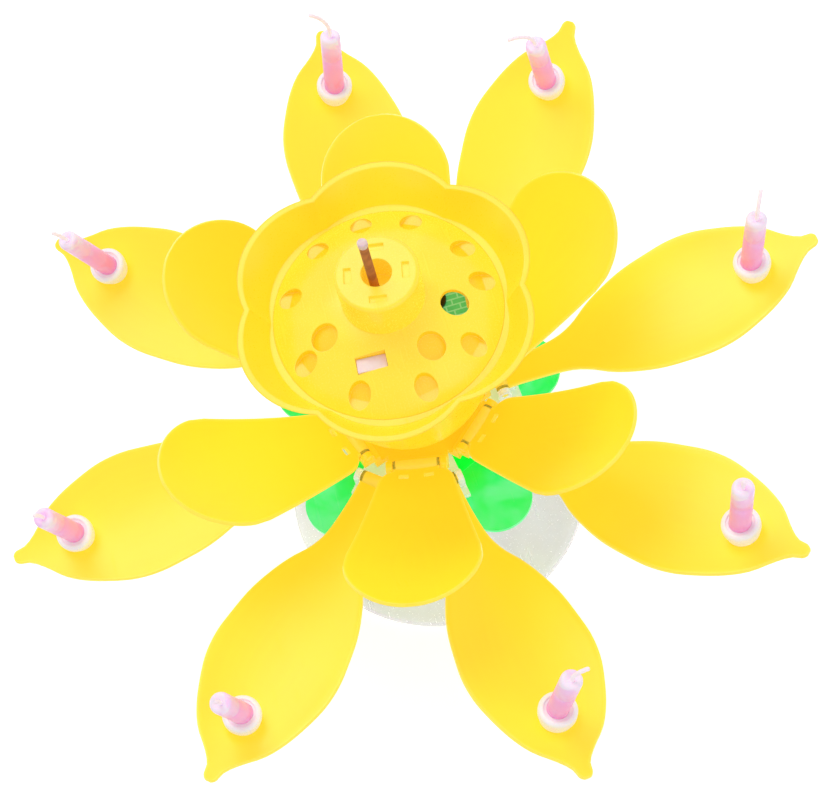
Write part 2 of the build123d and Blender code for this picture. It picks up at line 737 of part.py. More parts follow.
def centre_bowl():
    """Lobed bowl with a floor, a sleeve that runs on the post and a ledge for the seed plate."""
    outer, inner = bowl_bodies()
    floor = disc(stand_foot_radius, bowl_floor_height, bowl_floor_top) & outer
    ledge_base = plate_edge_height - bowl_ledge_thickness
    ledge_bore = plate_radius - bowl_ledge_width
    ledge = tube(stand_foot_radius, ledge_bore, ledge_base, plate_edge_height) & outer
    bowl = (outer - inner) + floor + ledge + disc(bowl_sleeve_radius, sleeve_base, sleeve_top)
    boss_top_height = post_shoulder_height - side_gap
    bowl = bowl + idler_axis() * disc(idler_boss_radius, bowl_floor_top, boss_top_height)
    bowl = bowl + idler_axis() * disc(idler_pin_radius, bowl_floor_top, cover_top)
    for turn in pillar_turns:
        pillar = disc(pillar_radius, bowl_floor_top, cover_height)
        hole = disc(cover_screw_radius, cover_top - cover_screw_length - overrun, cover_height + overrun)
        bowl = bowl + polar(pillar_ring_radius, motor_azimuth + turn) * (pillar - hole)
    return bowl - disc(post_radius + running_clearance, sleeve_base - overrun, sleeve_top + overrun)


def gear_cover():
    """Round cover over the gears that carries the motor and the cells."""
    cover = disc(cover_radius, cover_height, cover_top)
    cover = cover + idler_axis() * disc(idler_boss_radius, wheel_top + side_gap, cover_top)
    cover = cover - idler_axis() * disc(idler_pin_radius + seat_clearance, wheel_base, cover_top + overrun)
    cover = cover - motor_axis() * disc(motor_nose_radius + seat_clearance, wheel_base, cover_top + overrun)
    for turn in pillar_turns:
        hole = disc(cover_screw_radius + seat_clearance, cover_height - overrun, cover_top + overrun)
        cover = cover - polar(pillar_ring_radius, motor_azimuth + turn) * hole
    lower_clip, upper_clip = clip_shapes()
    return cover - lower_clip


def cover_screws():
    screws = []
    for turn in pillar_turns:
        shank = disc(cover_screw_radius, cover_top - cover_screw_length, cover_top)
        head = disc(cover_screw_head_radius, cover_top, cover_top + cover_screw_head_height)
        screws.append(polar(pillar_ring_radius, motor_azimuth + turn) * (shank + head))
    return Compound(children=screws)


def drive_motor():
    """Small round motor with a nose that centres it in the gear cover."""
    can = disc(motor_radius, cover_top, cover_top + motor_length)
    nose = disc(motor_nose_radius, cover_top - motor_nose_length, cover_top)
    bore_top = cover_top + motor_shaft_entry + side_gap
    bore = disc(motor_shaft_radius + running_clearance, cover_height - overrun, bore_top)
    return motor_axis() * (can + nose - bore)


def cell_place(index):
    return polar(cell_ring_radius, motor_azimuth + cell_turns[index])


def button_cells():
    cells = []
    for index in range(len(cell_turns)):
        cell = disc(cell_radius, cover_top, cover_top + cell_height)
        cell = fillet(cell.edges().filter_by(GeomType.CIRCLE), cell_round)
        cells.append(cell_place(index) * cell)
    return Compound(children=cells)


def clip_bridge(first, second, low):
    """Flat metal strip between the middles of two cells."""
    start = cell_place(first).position
    step = cell_place(second).position - start
    turn = math.degrees(math.atan2(step.Y, step.X))
    strip = block(0, step.length, clip_width / 2, 0, clip_thickness)
    ends = disc(clip_width / 2, 0, clip_thickness) + Pos(step.length, 0, 0) * disc(clip_width / 2, 0, clip_thickness)
    return Pos(start.X, start.Y, low) * Rot(0, 0, turn) * (strip + ends)


def clip_shapes():
    """A bridge let into the cover under two cells, and one on top of the next two."""
    return clip_bridge(0, 1, cover_top - clip_thickness), clip_bridge(1, 2, cover_top + cell_height)


def battery_clips():
    return Compound(children=list(clip_shapes()))


def plate_body(shrink):
    """Ball whose cap is the seed plate's face, made smaller by the given amount."""
    return Pos(0, 0, plate_sphere_height) * Sphere(plate_sphere_radius - shrink)


def window_place(height):
    return polar(window_ring_radius, window_azimuth, height) * Rot(0, 0, window_turn)


def board_corners():
    """Places of the two posts that carry the circuit board."""
    along = board_length / 2 - standoff_inset
    across = board_width / 2 - standoff_inset
    return [Pos(board_centre_x + along, board_centre_y - across), Pos(board_centre_x - along, board_centre_y + across)]


def hole_prism(ring_radius, azimuth, half_length, half_width, low):
    """Upright oval body that lies outwards from the flower's axis, up to the height of the boss."""
    oval = extrude(Ellipse(half_length, half_width), boss_top - low)
    return polar(ring_radius, azimuth, low) * Rot(0, 0, azimuth) * oval


def blind_holes():
    """Ring, azimuth and half sizes of each hole that doesn't go through the plate."""
    small = [(seed_hole_ring_radius, turn, seed_hole_half_length, seed_hole_half_width) for turn in seed_hole_azimuths]
    large = [(large_hole_ring_radius, turn, large_hole_radius, large_hole_radius) for turn in large_hole_azimuths]
    return small + large


def seed_plate():
    """Domed plate with its holes, a boss that holds the fuse, and seats for the parts below."""
    full = plate_body(0)
    crown = plate_edge_height + plate_rise
    dome = (full & disc(plate_radius + overrun, plate_edge_height, boss_top)) - plate_body(plate_thickness)
    cup_shell = full - plate_body(pocket_depth + pocket_floor)
    for ring, turn, length, width in blind_holes():
        cup = hole_prism(ring, turn, length + pocket_wall, width + pocket_wall, plate_edge_height)
        dome = dome + (cup & cup_shell)
    for ring, turn, length, width in blind_holes():
        pocket = hole_prism(ring, turn, length, width, plate_edge_height + pocket_floor)
        dome = dome - (pocket - plate_body(pocket_depth))
    open_hole = disc(large_hole_radius, plate_edge_height, boss_top)
    dome = dome - polar(large_hole_ring_radius, open_hole_azimuth) * open_hole
    boss = disc(boss_radius, plate_edge_height, boss_top)
    boss = fillet(boss.edges().group_by(Axis.Z)[-1], boss_round) - plate_body(plate_thickness)
    plate = dome + boss - disc(boss_radius - boss_wall, plate_edge_height, boss_top - boss_wall)
    seat = tube(sounder_radius, sounder_radius - sounder_seat_wall, sounder_height, crown)
    plate = plate + (Pos(sounder_centre_x, sounder_centre_y) * seat & plate_body(plate_thickness / 2))
    under_side = plate_body(plate_thickness / 2) + disc(boss_radius - boss_wall, crown, boss_top - boss_wall / 2)
    for corner in board_corners():
        post = corner * disc(standoff_radius, board_height + board_thickness, boss_top)
        plate = plate + (post & under_side)
    shaft_base = crown - window_depth
    shaft = Box(window_length + 2 * window_wall, window_width + 2 * window_wall, window_depth, align=BOTTOM)
    plate = plate + (window_place(shaft_base) * shaft & full)
    opening = Box(window_length, window_width, window_depth + 2 * overrun, align=BOTTOM)
    plate = plate - window_place(shaft_base - overrun) * opening
    cup = disc(fuse_cup_radius + fuse_cup_wall, fuse_cup_floor - boss_wall, boss_top - boss_wall / 2)
    plate = plate + cup - disc(fuse_cup_radius, fuse_cup_floor, boss_top + overrun)
    fuse_hole = disc(fuse_radius + seat_clearance, fuse_cup_floor - boss_wall - overrun, fuse_cup_floor + overrun)
    plate = plate - Pos(-fuse_offset, 0, 0) * fuse_hole
    for index in range(boss_slot_count):
        turn = boss_slot_azimuth + index * 360 / boss_slot_count
        slot = Box(boss_slot_width, boss_slot_length, 2 * boss_slot_depth)
        plate = plate - polar(boss_slot_ring_radius, turn, boss_top) * Rot(0, 0, turn) * slot
    return plate


def fuse_stick():
    """Thin upright stick that stands in the cup of the boss."""
    return Pos(-fuse_offset, 0, 0) * disc(fuse_radius, fuse_cup_floor - boss_wall, fuse_top)


def fuse_tip():
    """Small cap of wax on the end of the stick."""
    cap = disc(fuse_radius + fuse_tip_wall, fuse_top - fuse_tip_cover, fuse_top + fuse_tip_height - fuse_tip_cover)
    cap = fillet(cap.edges().group_by(Axis.Z)[-1], fuse_tip_round)
    return Pos(-fuse_offset, 0, 0) * (cap - disc(fuse_radius, fuse_top - fuse_tip_cover - overrun, fuse_top))


def flame_sensor():
    """Small block that looks out of the window in the seed plate."""
    face = plate_sphere_height + math.sqrt(plate_sphere_radius ** 2 - window_ring_radius ** 2) - sensor_sink
    body = Box(window_length - 2 * sensor_play, window_width - 2 * sensor_play, sensor_height, align=TOP)
    return window_place(face) * body


def circuit_board():
    board = Box(board_length, board_width, board_thickness, align=BOTTOM)
    return Pos(board_centre_x, board_centre_y, board_height) * board


def sound_chip():
    """Round drop of resin over the melody chip, on top of the circuit board."""
    low = board_height + board_thickness
    drop = disc(chip_radius, low, low + chip_height)
    drop = fillet(drop.edges().group_by(Axis.Z)[-1], chip_height / 2)
    return Pos(board_centre_x, board_centre_y, 0) * drop


def sounder_disc():
    """Thin metal disc that closes its seat from below and makes the sound."""
    return Pos(sounder_centre_x, sounder_centre_y) * disc(sounder_radius, sounder_height - sounder_thickness, sounder_height)


os.makedirs("parts", exist_ok=True)

# Pieces that stand still
save(base_stand(), "base_stand")
save(centre_post(), "centre_post")
save(post_screw(), "post_screw")
save(fixed_gear(), "fixed_gear")

# Pieces that turn with the flower
save(calyx(), "calyx")
save(outer_petal_ring(), "outer_petal_ring")
save(inner_petal_ring(), "inner_petal_ring")
save(centre_bowl(), "centre_bowl")
save(gear_cover(), "gear_cover")
save(cover_screws(), "cover_screws")
save(drive_motor(), "drive_motor")
save(button_cells(), "button_cells")
save(battery_clips(), "battery_clips")
save(seed_plate(), "seed_plate")
save(circuit_board(), "circuit_board")
save(sound_chip(), "sound_chip")
save(sounder_disc(), "sounder_disc")
save(flame_sensor(), "flame_sensor")
save(fuse_stick(), "fuse_stick")
save(fuse_tip(), "fuse_tip")
save(idler_gear(), "idler_gear")
save(motor_pinion(), "motor_pinion")

# Petals and what they carry
long_blade = outer_blade()
for index in range(outer_petal_count):
    place = outer_place(index) * outer_lie(index)
    barrel = outer_place(index) * hinge_barrel(outer_root_half_width)
    save(place * long_blade + barrel, f"outer_petal_{index + 1}")
    save(place * candle_holder(index), f"candle_holder_{index + 1}")
    save(place * candle(index), f"candle_{index + 1}")
    save(place * wick(index), f"wick_{index + 1}")
short_petal = inner_petal()
for index in range(inner_petal_count):
    place = inner_place(index) * inner_lie(index)
    save(place * short_petal, f"inner_petal_{index + 1}")
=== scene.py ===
import math
import bpy
from mathutils import Matrix, Vector


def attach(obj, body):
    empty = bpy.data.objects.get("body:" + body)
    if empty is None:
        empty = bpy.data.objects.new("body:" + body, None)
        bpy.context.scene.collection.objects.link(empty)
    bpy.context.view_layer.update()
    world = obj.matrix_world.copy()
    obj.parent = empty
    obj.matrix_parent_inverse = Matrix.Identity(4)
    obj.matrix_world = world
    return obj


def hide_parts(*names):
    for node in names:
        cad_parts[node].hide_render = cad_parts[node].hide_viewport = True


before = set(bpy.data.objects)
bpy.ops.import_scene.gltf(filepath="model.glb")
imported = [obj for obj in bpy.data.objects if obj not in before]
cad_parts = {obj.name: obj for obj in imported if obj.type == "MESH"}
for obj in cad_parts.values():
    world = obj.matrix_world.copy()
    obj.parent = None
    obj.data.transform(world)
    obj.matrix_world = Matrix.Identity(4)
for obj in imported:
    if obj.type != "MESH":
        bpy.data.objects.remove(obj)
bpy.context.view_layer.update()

mm = 0.001

# The stand.
# A flared foot of milky plastic, moulded in one piece with ribs and a hub underneath.
# It stands on the cake and holds the steel post that the flower turns on.


def put(tree, kind, inputs=None, **settings):
    """A shader node. An input given as a socket is linked, and any other is set."""
    made = tree.nodes.new("ShaderNode" + kind)
    for name, value in settings.items():
        setattr(made, name, value)
    for name, value in (inputs or {}).items():
        if isinstance(value, bpy.types.NodeSocket):
            tree.links.new(value, made.inputs[name])
        else:
            made.inputs[name].default_value = value
    return made


def blend_colours(tree, share, first, second):
    """Colour that goes from the first to the second as the share goes from 0 to 1."""
    mix = put(tree, "Mix", data_type="RGBA")
    for place, value in ((0, share), (6, first), (7, second)):
        if isinstance(value, bpy.types.NodeSocket):
            tree.links.new(value, mix.inputs[place])
        elif place == 0:
            mix.inputs[place].default_value = value
        else:
            mix.inputs[place].default_value = (*value, 1)
    return mix.outputs[2]


def spread(tree, value, from_low, from_high, to_low, to_high, smooth=False):
    """Value moved from one range to another and kept inside it."""
    kind = "SMOOTHSTEP" if smooth else "LINEAR"
    ranged = put(tree, "MapRange", {"Value": value, "From Min": from_low, "From Max": from_high,
                                    "To Min": to_low, "To Max": to_high}, interpolation_type=kind)
    return ranged.outputs["Result"]


def effect_group(name, inputs, outputs):
    """Empty shader node group with named sockets. Inputs are numbers with a default."""
    group = bpy.data.node_groups.new(name, "ShaderNodeTree")
    for label, default in inputs.items():
        socket = group.interface.new_socket(name=label, in_out="INPUT", socket_type="NodeSocketFloat")
        socket.default_value = default
    for label, kind in outputs.items():
        group.interface.new_socket(name=label, in_out="OUTPUT", socket_type="NodeSocket" + kind)
    return group, group.nodes.new("NodeGroupInput").outputs, group.nodes.new("NodeGroupOutput").inputs


# What every moulding shows: slow clouds where the melt flowed, the fine skin that the mould left,
# and a few hairlines from handling, which are long and thin and run askew.
noise_low, noise_high = 0.3, 0.7       # most of a noise texture lies between these
hairline_stretch = (900, 60, 240)
hairline_turn = (0.4, 0.3, 0.9)
mould_skin, given, result = effect_group(
    "mould_skin", {"Cloud Size": 18 * mm, "Skin Size": 0.35 * mm},
    {"Cloud": "Float", "Skin": "Float", "Hairlines": "Float"})
place_on_piece = put(mould_skin, "TexCoord").outputs["Object"]
cloud_scale = put(mould_skin, "Math", {0: 1.0, 1: given["Cloud Size"]}, operation="DIVIDE").outputs[0]
skin_scale = put(mould_skin, "Math", {0: 1.0, 1: given["Skin Size"]}, operation="DIVIDE").outputs[0]
clouds = put(mould_skin, "TexNoise", {"Vector": place_on_piece, "Scale": cloud_scale, "Detail": 2.0,
                                      "Distortion": 0.6})
skin = put(mould_skin, "TexNoise", {"Vector": place_on_piece, "Scale": skin_scale, "Detail": 3.0})
hair_place = put(mould_skin, "Mapping", {"Vector": place_on_piece, "Scale": hairline_stretch,
                                         "Rotation": hairline_turn})
hairs = put(mould_skin, "TexNoise", {"Vector": hair_place.outputs[0], "Scale": 1.0, "Detail": 1.0,
                                     "Distortion": 0.3})
mould_skin.links.new(spread(mould_skin, clouds.outputs["Fac"], 0.32, 0.68, 0, 1, True), result["Cloud"])
mould_skin.links.new(skin.outputs["Fac"], result["Skin"])
mould_skin.links.new(spread(mould_skin, hairs.outputs["Fac"], 0.66, 0.74, 0, 1), result["Hairlines"])

# Edges of a moulding are a little round. The bevel normal rounds their shading, and the edge mask paints them
# lighter as a painted highlight.
edge_highlight_share = 0.35      # how far a rounded edge takes the lighter colour of the painted highlight
soft_edge, given, result = effect_group(
    "soft_edge", {"Radius": 0.3 * mm}, {"Normal": "Vector", "Edge": "Float"})
rounded = put(soft_edge, "Bevel", {"Radius": given["Radius"]}, samples=12)
face_normal = put(soft_edge, "NewGeometry").outputs["Normal"]
facing = put(soft_edge, "VectorMath", {0: rounded.outputs[0], 1: face_normal}, operation="DOT_PRODUCT")
soft_edge.links.new(rounded.outputs[0], result["Normal"])
soft_edge.links.new(spread(soft_edge, facing.outputs["Value"], 0.995, 0.85, 0, 1), result["Edge"])


def start_material(name):
    """Material with only its output and its shader; gives the material, its nodes and the shader."""
    material = bpy.data.materials.new(name)
    material.use_nodes = True
    tree = material.node_tree
    tree.nodes.clear()
    shader = put(tree, "BsdfPrincipled")
    output = put(tree, "OutputMaterial")
    tree.links.new(shader.outputs[0], output.inputs["Surface"])
    return material, tree, shader


def place_group(tree, group, **values):
    """One of the shared effects, with this material's own values."""
    made = put(tree, "Group", node_tree=group)
    for name, value in values.items():
        made.inputs[name.replace("_", " ")].default_value = value
    return made.outputs


def moulded_plastic(name, light, deep, edge, roughness=0.32, glow=0.1, cloud_size=18 * mm, radius=0.3 * mm,
                    tint=None, painted_glow=0.0, clear=0.0):
    """Material of moulded plastic. The glow is how far light soaks in, and a tint adds more colours.

    Painted glow: the emission makes the plastic shine a little by itself, standing in for light through thin
    plastic. Rounded edges are painted lighter as a painted highlight. Clear plastic lets light pass."""
    material, tree, shader = start_material(name)
    skin = place_group(tree, mould_skin, Cloud_Size=cloud_size)
    rim = place_group(tree, soft_edge, Radius=radius)
    colour = blend_colours(tree, skin["Cloud"], light, deep)
    if tint:
        colour = tint(tree, colour)
    # Painted highlight: rounded edges take the lighter edge colour.
    colour = blend_colours(tree, spread(tree, rim["Edge"], 0, 1, 0, edge_highlight_share), colour, edge)
    tree.links.new(colour, shader.inputs["Base Color"])
    # Painted glow: the emission lets the plastic shine a little by itself.
    tree.links.new(colour, shader.inputs["Emission Color"])
    shader.inputs["Emission Strength"].default_value = painted_glow
    shader.inputs["Transmission Weight"].default_value = clear
    rough = spread(tree, skin["Skin"], noise_low, noise_high, roughness - 0.04, roughness + 0.06)
    scratched = spread(tree, skin["Hairlines"], 0, 1, 0, 0.12)
    rough = put(tree, "Math", {0: rough, 1: scratched}, operation="ADD").outputs[0]
    tree.links.new(rough, shader.inputs["Roughness"])
    bump = put(tree, "Bump", {"Height": skin["Skin"], "Normal": rim["Normal"], "Strength": 0.08,
                              "Distance": 0.02 * mm})
    tree.links.new(bump.outputs[0], shader.inputs["Normal"])
    shader.inputs["IOR"].default_value = 1.49
    shader.inputs["Subsurface Weight"].default_value = glow
    shader.inputs["Subsurface Radius"].default_value = (1.0, 0.7, 0.3)
    shader.inputs["Subsurface Scale"].default_value = 1.5 * mm
    return material


def dress(material, *names):
    """Gives a material to CAD nodes."""
    for name in names:
        for material_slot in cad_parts[name].material_slots:
            material_slot.material = material


milky_white = (0.94, 0.94, 0.97)
milky_shade = (0.90, 0.88, 0.95)
clear_edge_highlight = (0.97, 0.97, 0.98)
milky_plastic = moulded_plastic("milky_plastic", milky_white, milky_shade, clear_edge_highlight, roughness=0.22,
                                glow=0.0, painted_glow=0.08, clear=0.45)
dress(milky_plastic, "base_stand")

# The post, its screw and the gears.
# A turned steel post is screwed into the stand from below. The fixed gear is pressed on its head,
# and the idler and the motor's pinion roll round it. The gears are moulded in white nylon.

# Turned and drawn metal has fine rings from the tool.
metal_edge_highlight_share = 0.5
tool_rings, given, result = effect_group(
    "tool_rings", {"Pitch": 0.12 * mm}, {"Rings": "Float", "Stain": "Float"})
place_on_piece = put(tool_rings, "TexCoord").outputs["Object"]
ring_scale = put(tool_rings, "Math", {0: 1.0, 1: given["Pitch"]}, operation="DIVIDE").outputs[0]
ring_place = put(tool_rings, "Mapping", {"Vector": place_on_piece, "Scale": (0.02, 0.02, 1.0)})
rings = put(tool_rings, "TexNoise", {"Vector": ring_place.outputs[0], "Scale": ring_scale, "Detail": 2.0})
stains = put(tool_rings, "TexNoise", {"Vector": place_on_piece, "Scale": 300.0, "Detail": 4.0})
tool_rings.links.new(rings.outputs["Fac"], result["Rings"])
tool_rings.links.new(spread(tool_rings, stains.outputs["Fac"], 0.4, 0.7, 0, 1), result["Stain"])


def worked_metal(name, bright, dull, roughness):
    """Material of a turned, drawn or stamped metal piece."""
    material, tree, shader = start_material(name)
    marks = place_group(tree, tool_rings)
    rim = place_group(tree, soft_edge, Radius=0.1 * mm)
    colour = blend_colours(tree, marks["Stain"], bright, dull)
    # Painted highlight: rounded edges are painted in the bright colour.
    colour = blend_colours(tree, spread(tree, rim["Edge"], 0, 1, 0, metal_edge_highlight_share), colour, bright)
    tree.links.new(colour, shader.inputs["Base Color"])
    rough = spread(tree, marks["Rings"], noise_low, noise_high, roughness - 0.08, roughness + 0.08)
    tree.links.new(rough, shader.inputs["Roughness"])
    bump = put(tree, "Bump", {"Height": marks["Rings"], "Normal": rim["Normal"], "Strength": 0.15,
                              "Distance": 0.01 * mm})
    tree.links.new(bump.outputs[0], shader.inputs["Normal"])
    shader.inputs["Metallic"].default_value = 1.0
    return material


steel_bright = (0.66, 0.67, 0.69)
steel_dull = (0.50, 0.50, 0.52)
post_steel = worked_metal("post_steel", steel_bright, steel_dull, roughness=0.3)
dress(post_steel, "centre_post", "post_screw", "cover_screws")
nylon_white = (0.82, 0.81, 0.76)
nylon_shade = (0.76, 0.75, 0.69)
nylon_edge_highlight = (0.9, 0.89, 0.85)
gear_nylon = moulded_plastic("gear_nylon", nylon_white, nylon_shade, nylon_edge_highlight, roughness=0.45,
                             glow=0.15, cloud_size=6 * mm, radius=0.08 * mm)
dress(gear_nylon, "fixed_gear", "idler_gear", "gear_cover")

# The calyx.
# A green cup with five broad leaves, moulded in one piece, that turns on the post under the petals.
# The leaves are painted paler, as if they catch the light, and the cup a deep green as painted shade under
# the petals.
leaf_start = 20.0 * mm
leaf_middle = 27.0 * mm
leaf_green = (0.01, 0.90, 0.18)
leaf_mint = (0.10, 0.93, 0.42)
cup_shade_green = (0.015, 0.88, 0.07)
leaf_edge_highlight = (0.40, 0.96, 0.60)


def painted_cup_shade(tree, colour):
    """Painted shade: the cup is painted a deep green, which ends where the leaves begin."""
    place = put(tree, "SeparateXYZ", {0: put(tree, "TexCoord").outputs["Object"]}).outputs
    flat = put(tree, "CombineXYZ", {0: place[0], 1: place[1]}).outputs[0]
    reach = put(tree, "VectorMath", {0: flat}, operation="LENGTH").outputs["Value"]
    return blend_colours(tree, spread(tree, reach, leaf_start, leaf_middle, 0, 1, True), cup_shade_green, colour)


green_plastic = moulded_plastic("green_plastic", leaf_green, leaf_mint, leaf_edge_highlight, roughness=0.2, glow=0.15,
                                cloud_size=9 * mm, tint=painted_cup_shade, painted_glow=0.28)
dress(green_plastic, "calyx")

# The rings that carry the petals.
# Two moulded rings sit on the calyx, one on the other. The lower, clear one has eight arms with
# lugs for the long petals, and the upper, yellow one has six for the short petals.
ring_pale = (0.92, 0.95, 0.92)
ring_shade = (0.86, 0.92, 0.87)
ring_clear = moulded_plastic("ring_clear", ring_pale, ring_shade, clear_edge_highlight, roughness=0.15, glow=0.0,
                             cloud_size=8 * mm, radius=0.2 * mm, painted_glow=0.12, clear=0.4)
dress(ring_clear, "outer_petal_ring")
body_yellow = (0.955, 0.70, 0.026)
body_amber = (0.95, 0.65, 0.02)
body_rim_highlight = (0.96, 0.80, 0.11)
yellow_body = moulded_plastic("yellow_body", body_yellow, body_amber, body_rim_highlight, roughness=0.3, glow=0.2,
                              cloud_size=22 * mm, radius=0.35 * mm, painted_glow=0.25)
dress(yellow_body, "inner_petal_ring")

# The long petals.
# Eight thin blades of yellow plastic, cupped across and dished along, each with a slim root and a
# small pointed tip. The root ends in a round barrel whose two trunnions snap between the lugs.
outer_count = 8
outer_azimuth = 2.96
outer_hinge_radius = 21.5 * mm
outer_hinge_height = 52.0 * mm
outer_length = 83.5 * mm
outer_half_width = 16.1 * mm
outer_root_length = 4.4 * mm
outer_root_half_width = 3.4 * mm
outer_tip_radius = 1.8 * mm
outer_chord = 66.94 * mm       # from the hinge to the candle
outer_dip = 2.0 * mm
outer_cup_radius = 60.0 * mm
blade_thickness = 0.9 * mm
edge_round = 0.28 * mm
outer_rows = 16                # strips across the blade
outer_steps = 52               # and along it, from the root to the tip
# Edge of the blade: shares of its length and of its half width
outer_edge_shares = [
    (0.14, 0.25), (0.21, 0.31), (0.26, 0.42), (0.31, 0.59), (0.37, 0.74), (0.45, 0.88), (0.54, 0.96),
    (0.61, 0.995), (0.68, 0.965), (0.75, 0.86), (0.82, 0.71), (0.875, 0.53), (0.92, 0.29), (0.955, 0.145),
]
outer_rest_angles = [9.1, 16.8, 10.0, 2.2, -3.9, 5.6, 7.0, 12.3]
outer_sway_angles = [0.2, 3.1, -6.3, -1.4, 1.1, 1.7, 5.1, -2.1]
outer_roll_angles = [0.7, 0.5, -6.7, 14.3, 7.9, 2.0, 12.2, 2.0]


def smooth_through(points, x):
    """Height at x of a smooth curve through the points."""
    last = len(points) - 1
    slopes = []
    for index in range(last + 1):
        before, after = points[max(index - 1, 0)], points[min(index + 1, last)]
        slopes.append((after[1] - before[1]) / (after[0] - before[0]))
    span = 0
    while span < last - 1 and x > points[span + 1][0]:
        span += 1
    (x0, y0), (x1, y1) = points[span], points[span + 1]
    run = x1 - x0
    t = (x - x0) / run
    return ((1 + 2 * t) * (1 - t) ** 2 * y0 + t * (1 - t) ** 2 * run * slopes[span]
            + t * t * (3 - 2 * t) * y1 - t * t * (1 - t) * run * slopes[span + 1])


def outer_half_width_at(x):
    """Half width of a long petal at a distance from its hinge."""
    tip_start = outer_length - outer_tip_radius
    if x <= outer_root_length:
        return outer_root_half_width
    if x >= tip_start:
        return math.sqrt(max(outer_tip_radius ** 2 - (x - tip_start) ** 2, 0))
    side = [(outer_length * along, outer_half_width * across) for along, across in outer_edge_shares]
    root_end, tip_end = (outer_root_length, outer_root_half_width), (tip_start, outer_tip_radius)
    return smooth_through([root_end] + side + [tip_end], x)


def nothing_selected():
    """Leaves edit mode and deselects every object."""
    if bpy.context.object and bpy.context.object.mode != "OBJECT":
        bpy.ops.object.mode_set(mode="OBJECT")
    bpy.ops.object.select_all(action="DESELECT")


def work_on(piece):
    """Makes one piece the only selected and active one."""
    nothing_selected()
    piece.select_set(True)
    bpy.context.view_layer.objects.active = piece


def select_vertices(piece, wanted):
    """Selects in edit mode the vertices whose place passes the test."""
    bpy.ops.object.mode_set(mode="OBJECT")
    for polygon in piece.data.polygons:
        polygon.select = False
    for edge in piece.data.edges:
        edge.select = False
    for vertex in piece.data.vertices:
        vertex.select = wanted(vertex.co)
    bpy.ops.object.mode_set(mode="EDIT")
    bpy.ops.mesh.select_mode(type="VERT")


def apply_modifier(piece, kind, **settings):
    """Adds a modifier, sets it and applies it."""
    modifier = piece.modifiers.new(kind.lower(), kind)
    for name, value in settings.items():
        setattr(modifier, name, value)
    bpy.ops.object.modifier_apply(modifier=modifier.name)


def blade(name, stations, half_width, chord, dip, cup_radius, rows):
    """Thin cupped blade along +X. It is drawn out flat and upright, row by row, and then bent."""
    long_radius = (chord / 2) ** 2 / (2 * dip) + dip / 2

    def flat_length(x):
        return chord / 2 + long_radius * math.asin((x - chord / 2) / long_radius)

    def flat_width(width):
        return cup_radius * math.asin(width / cup_radius)

    nothing_selected()
    start, first = flat_length(stations[0]), flat_length(stations[1])
    bpy.ops.mesh.primitive_grid_add(x_subdivisions=1, y_subdivisions=rows, size=1,
                                    rotation=(math.pi / 2, 0, 0))
    piece = bpy.context.object
    piece.name = name
    piece.scale = (first - start, 2 * flat_width(half_width(stations[0])), 1)
    piece.location = ((first + start) / 2, 0, 0)
    bpy.ops.object.transform_apply(location=True, rotation=True, scale=True)
    select_vertices(piece, lambda place: place.x > (first + start) / 2)
    for before, after in zip(stations[1:], stations[2:]):
        widen = flat_width(half_width(after)) / flat_width(half_width(before))
        step = (flat_length(after) - flat_length(before), 0, 0)
        bpy.ops.mesh.extrude_region_move(TRANSFORM_OT_translate={"value": step})
        bpy.ops.transform.resize(value=(1, 1, widen), center_override=(flat_length(after), 0, 0))
    bpy.ops.object.mode_set(mode="OBJECT")
    mark_blade(piece, stations, half_width, flat_length, flat_width)
    # The bends run about the blade's middle.
    piece.data.transform(Matrix.Translation((-chord / 2, 0, 0)))
    heights = [vertex.co.z for vertex in piece.data.vertices]
    lengths = [vertex.co.x for vertex in piece.data.vertices]
    apply_modifier(piece, "SIMPLE_DEFORM", deform_method="BEND", deform_axis="X",
                   angle=(max(heights) - min(heights)) / cup_radius)
    apply_modifier(piece, "SIMPLE_DEFORM", deform_method="BEND", deform_axis="Z",
                   angle=(max(lengths) - min(lengths)) / long_radius)
    piece.data.transform(Matrix.Translation((chord / 2, -dip, 0)))
    piece.data.transform(Matrix.Rotation(math.pi / 2, 4, "X"))
    bpy.ops.object.mode_set(mode="EDIT")
    bpy.ops.mesh.select_all(action="SELECT")
    bpy.ops.mesh.normals_make_consistent(inside=False)
    bpy.ops.object.mode_set(mode="OBJECT")
    apply_modifier(piece, "SOLIDIFY", thickness=blade_thickness, offset=0)
    return piece


def mark_blade(piece, stations, half_width, flat_length, flat_width):
    """Keeps on each point how far along the blade it lies, and how far from the edge."""
    along = piece.data.attributes.new("along", "FLOAT", "POINT")
    inward = piece.data.attributes.new("inward", "FLOAT", "POINT")
    widths = {round(flat_length(x) / mm, 3): flat_width(half_width(x)) for x in stations}
    end = flat_length(stations[-1])
    for vertex in piece.data.vertices:
        width = widths[round(vertex.co.x / mm, 3)]
        along.data[vertex.index].value = vertex.co.x / end
        inward.data[vertex.index].value = min(width - abs(vertex.co.z), end - vertex.co.x + width / 4)


def soften(piece, width=edge_round, angle=50, segments=3):
    """Rounds the sharp edges and shades the rest smooth."""
    work_on(piece)
    apply_modifier(piece, "BEVEL", width=width, segments=segments, limit_method="ANGLE",
                   angle_limit=math.radians(angle), use_clamp_overlap=True, harden_normals=False)
    bpy.ops.object.shade_smooth_by_angle(angle=math.radians(35))


barrel_radius = 1.5 * mm
barrel_sides = 40
barrel_edge_round = 0.2 * mm
trunnion_radius = 0.8 * mm
trunnion_length = 1.5 * mm


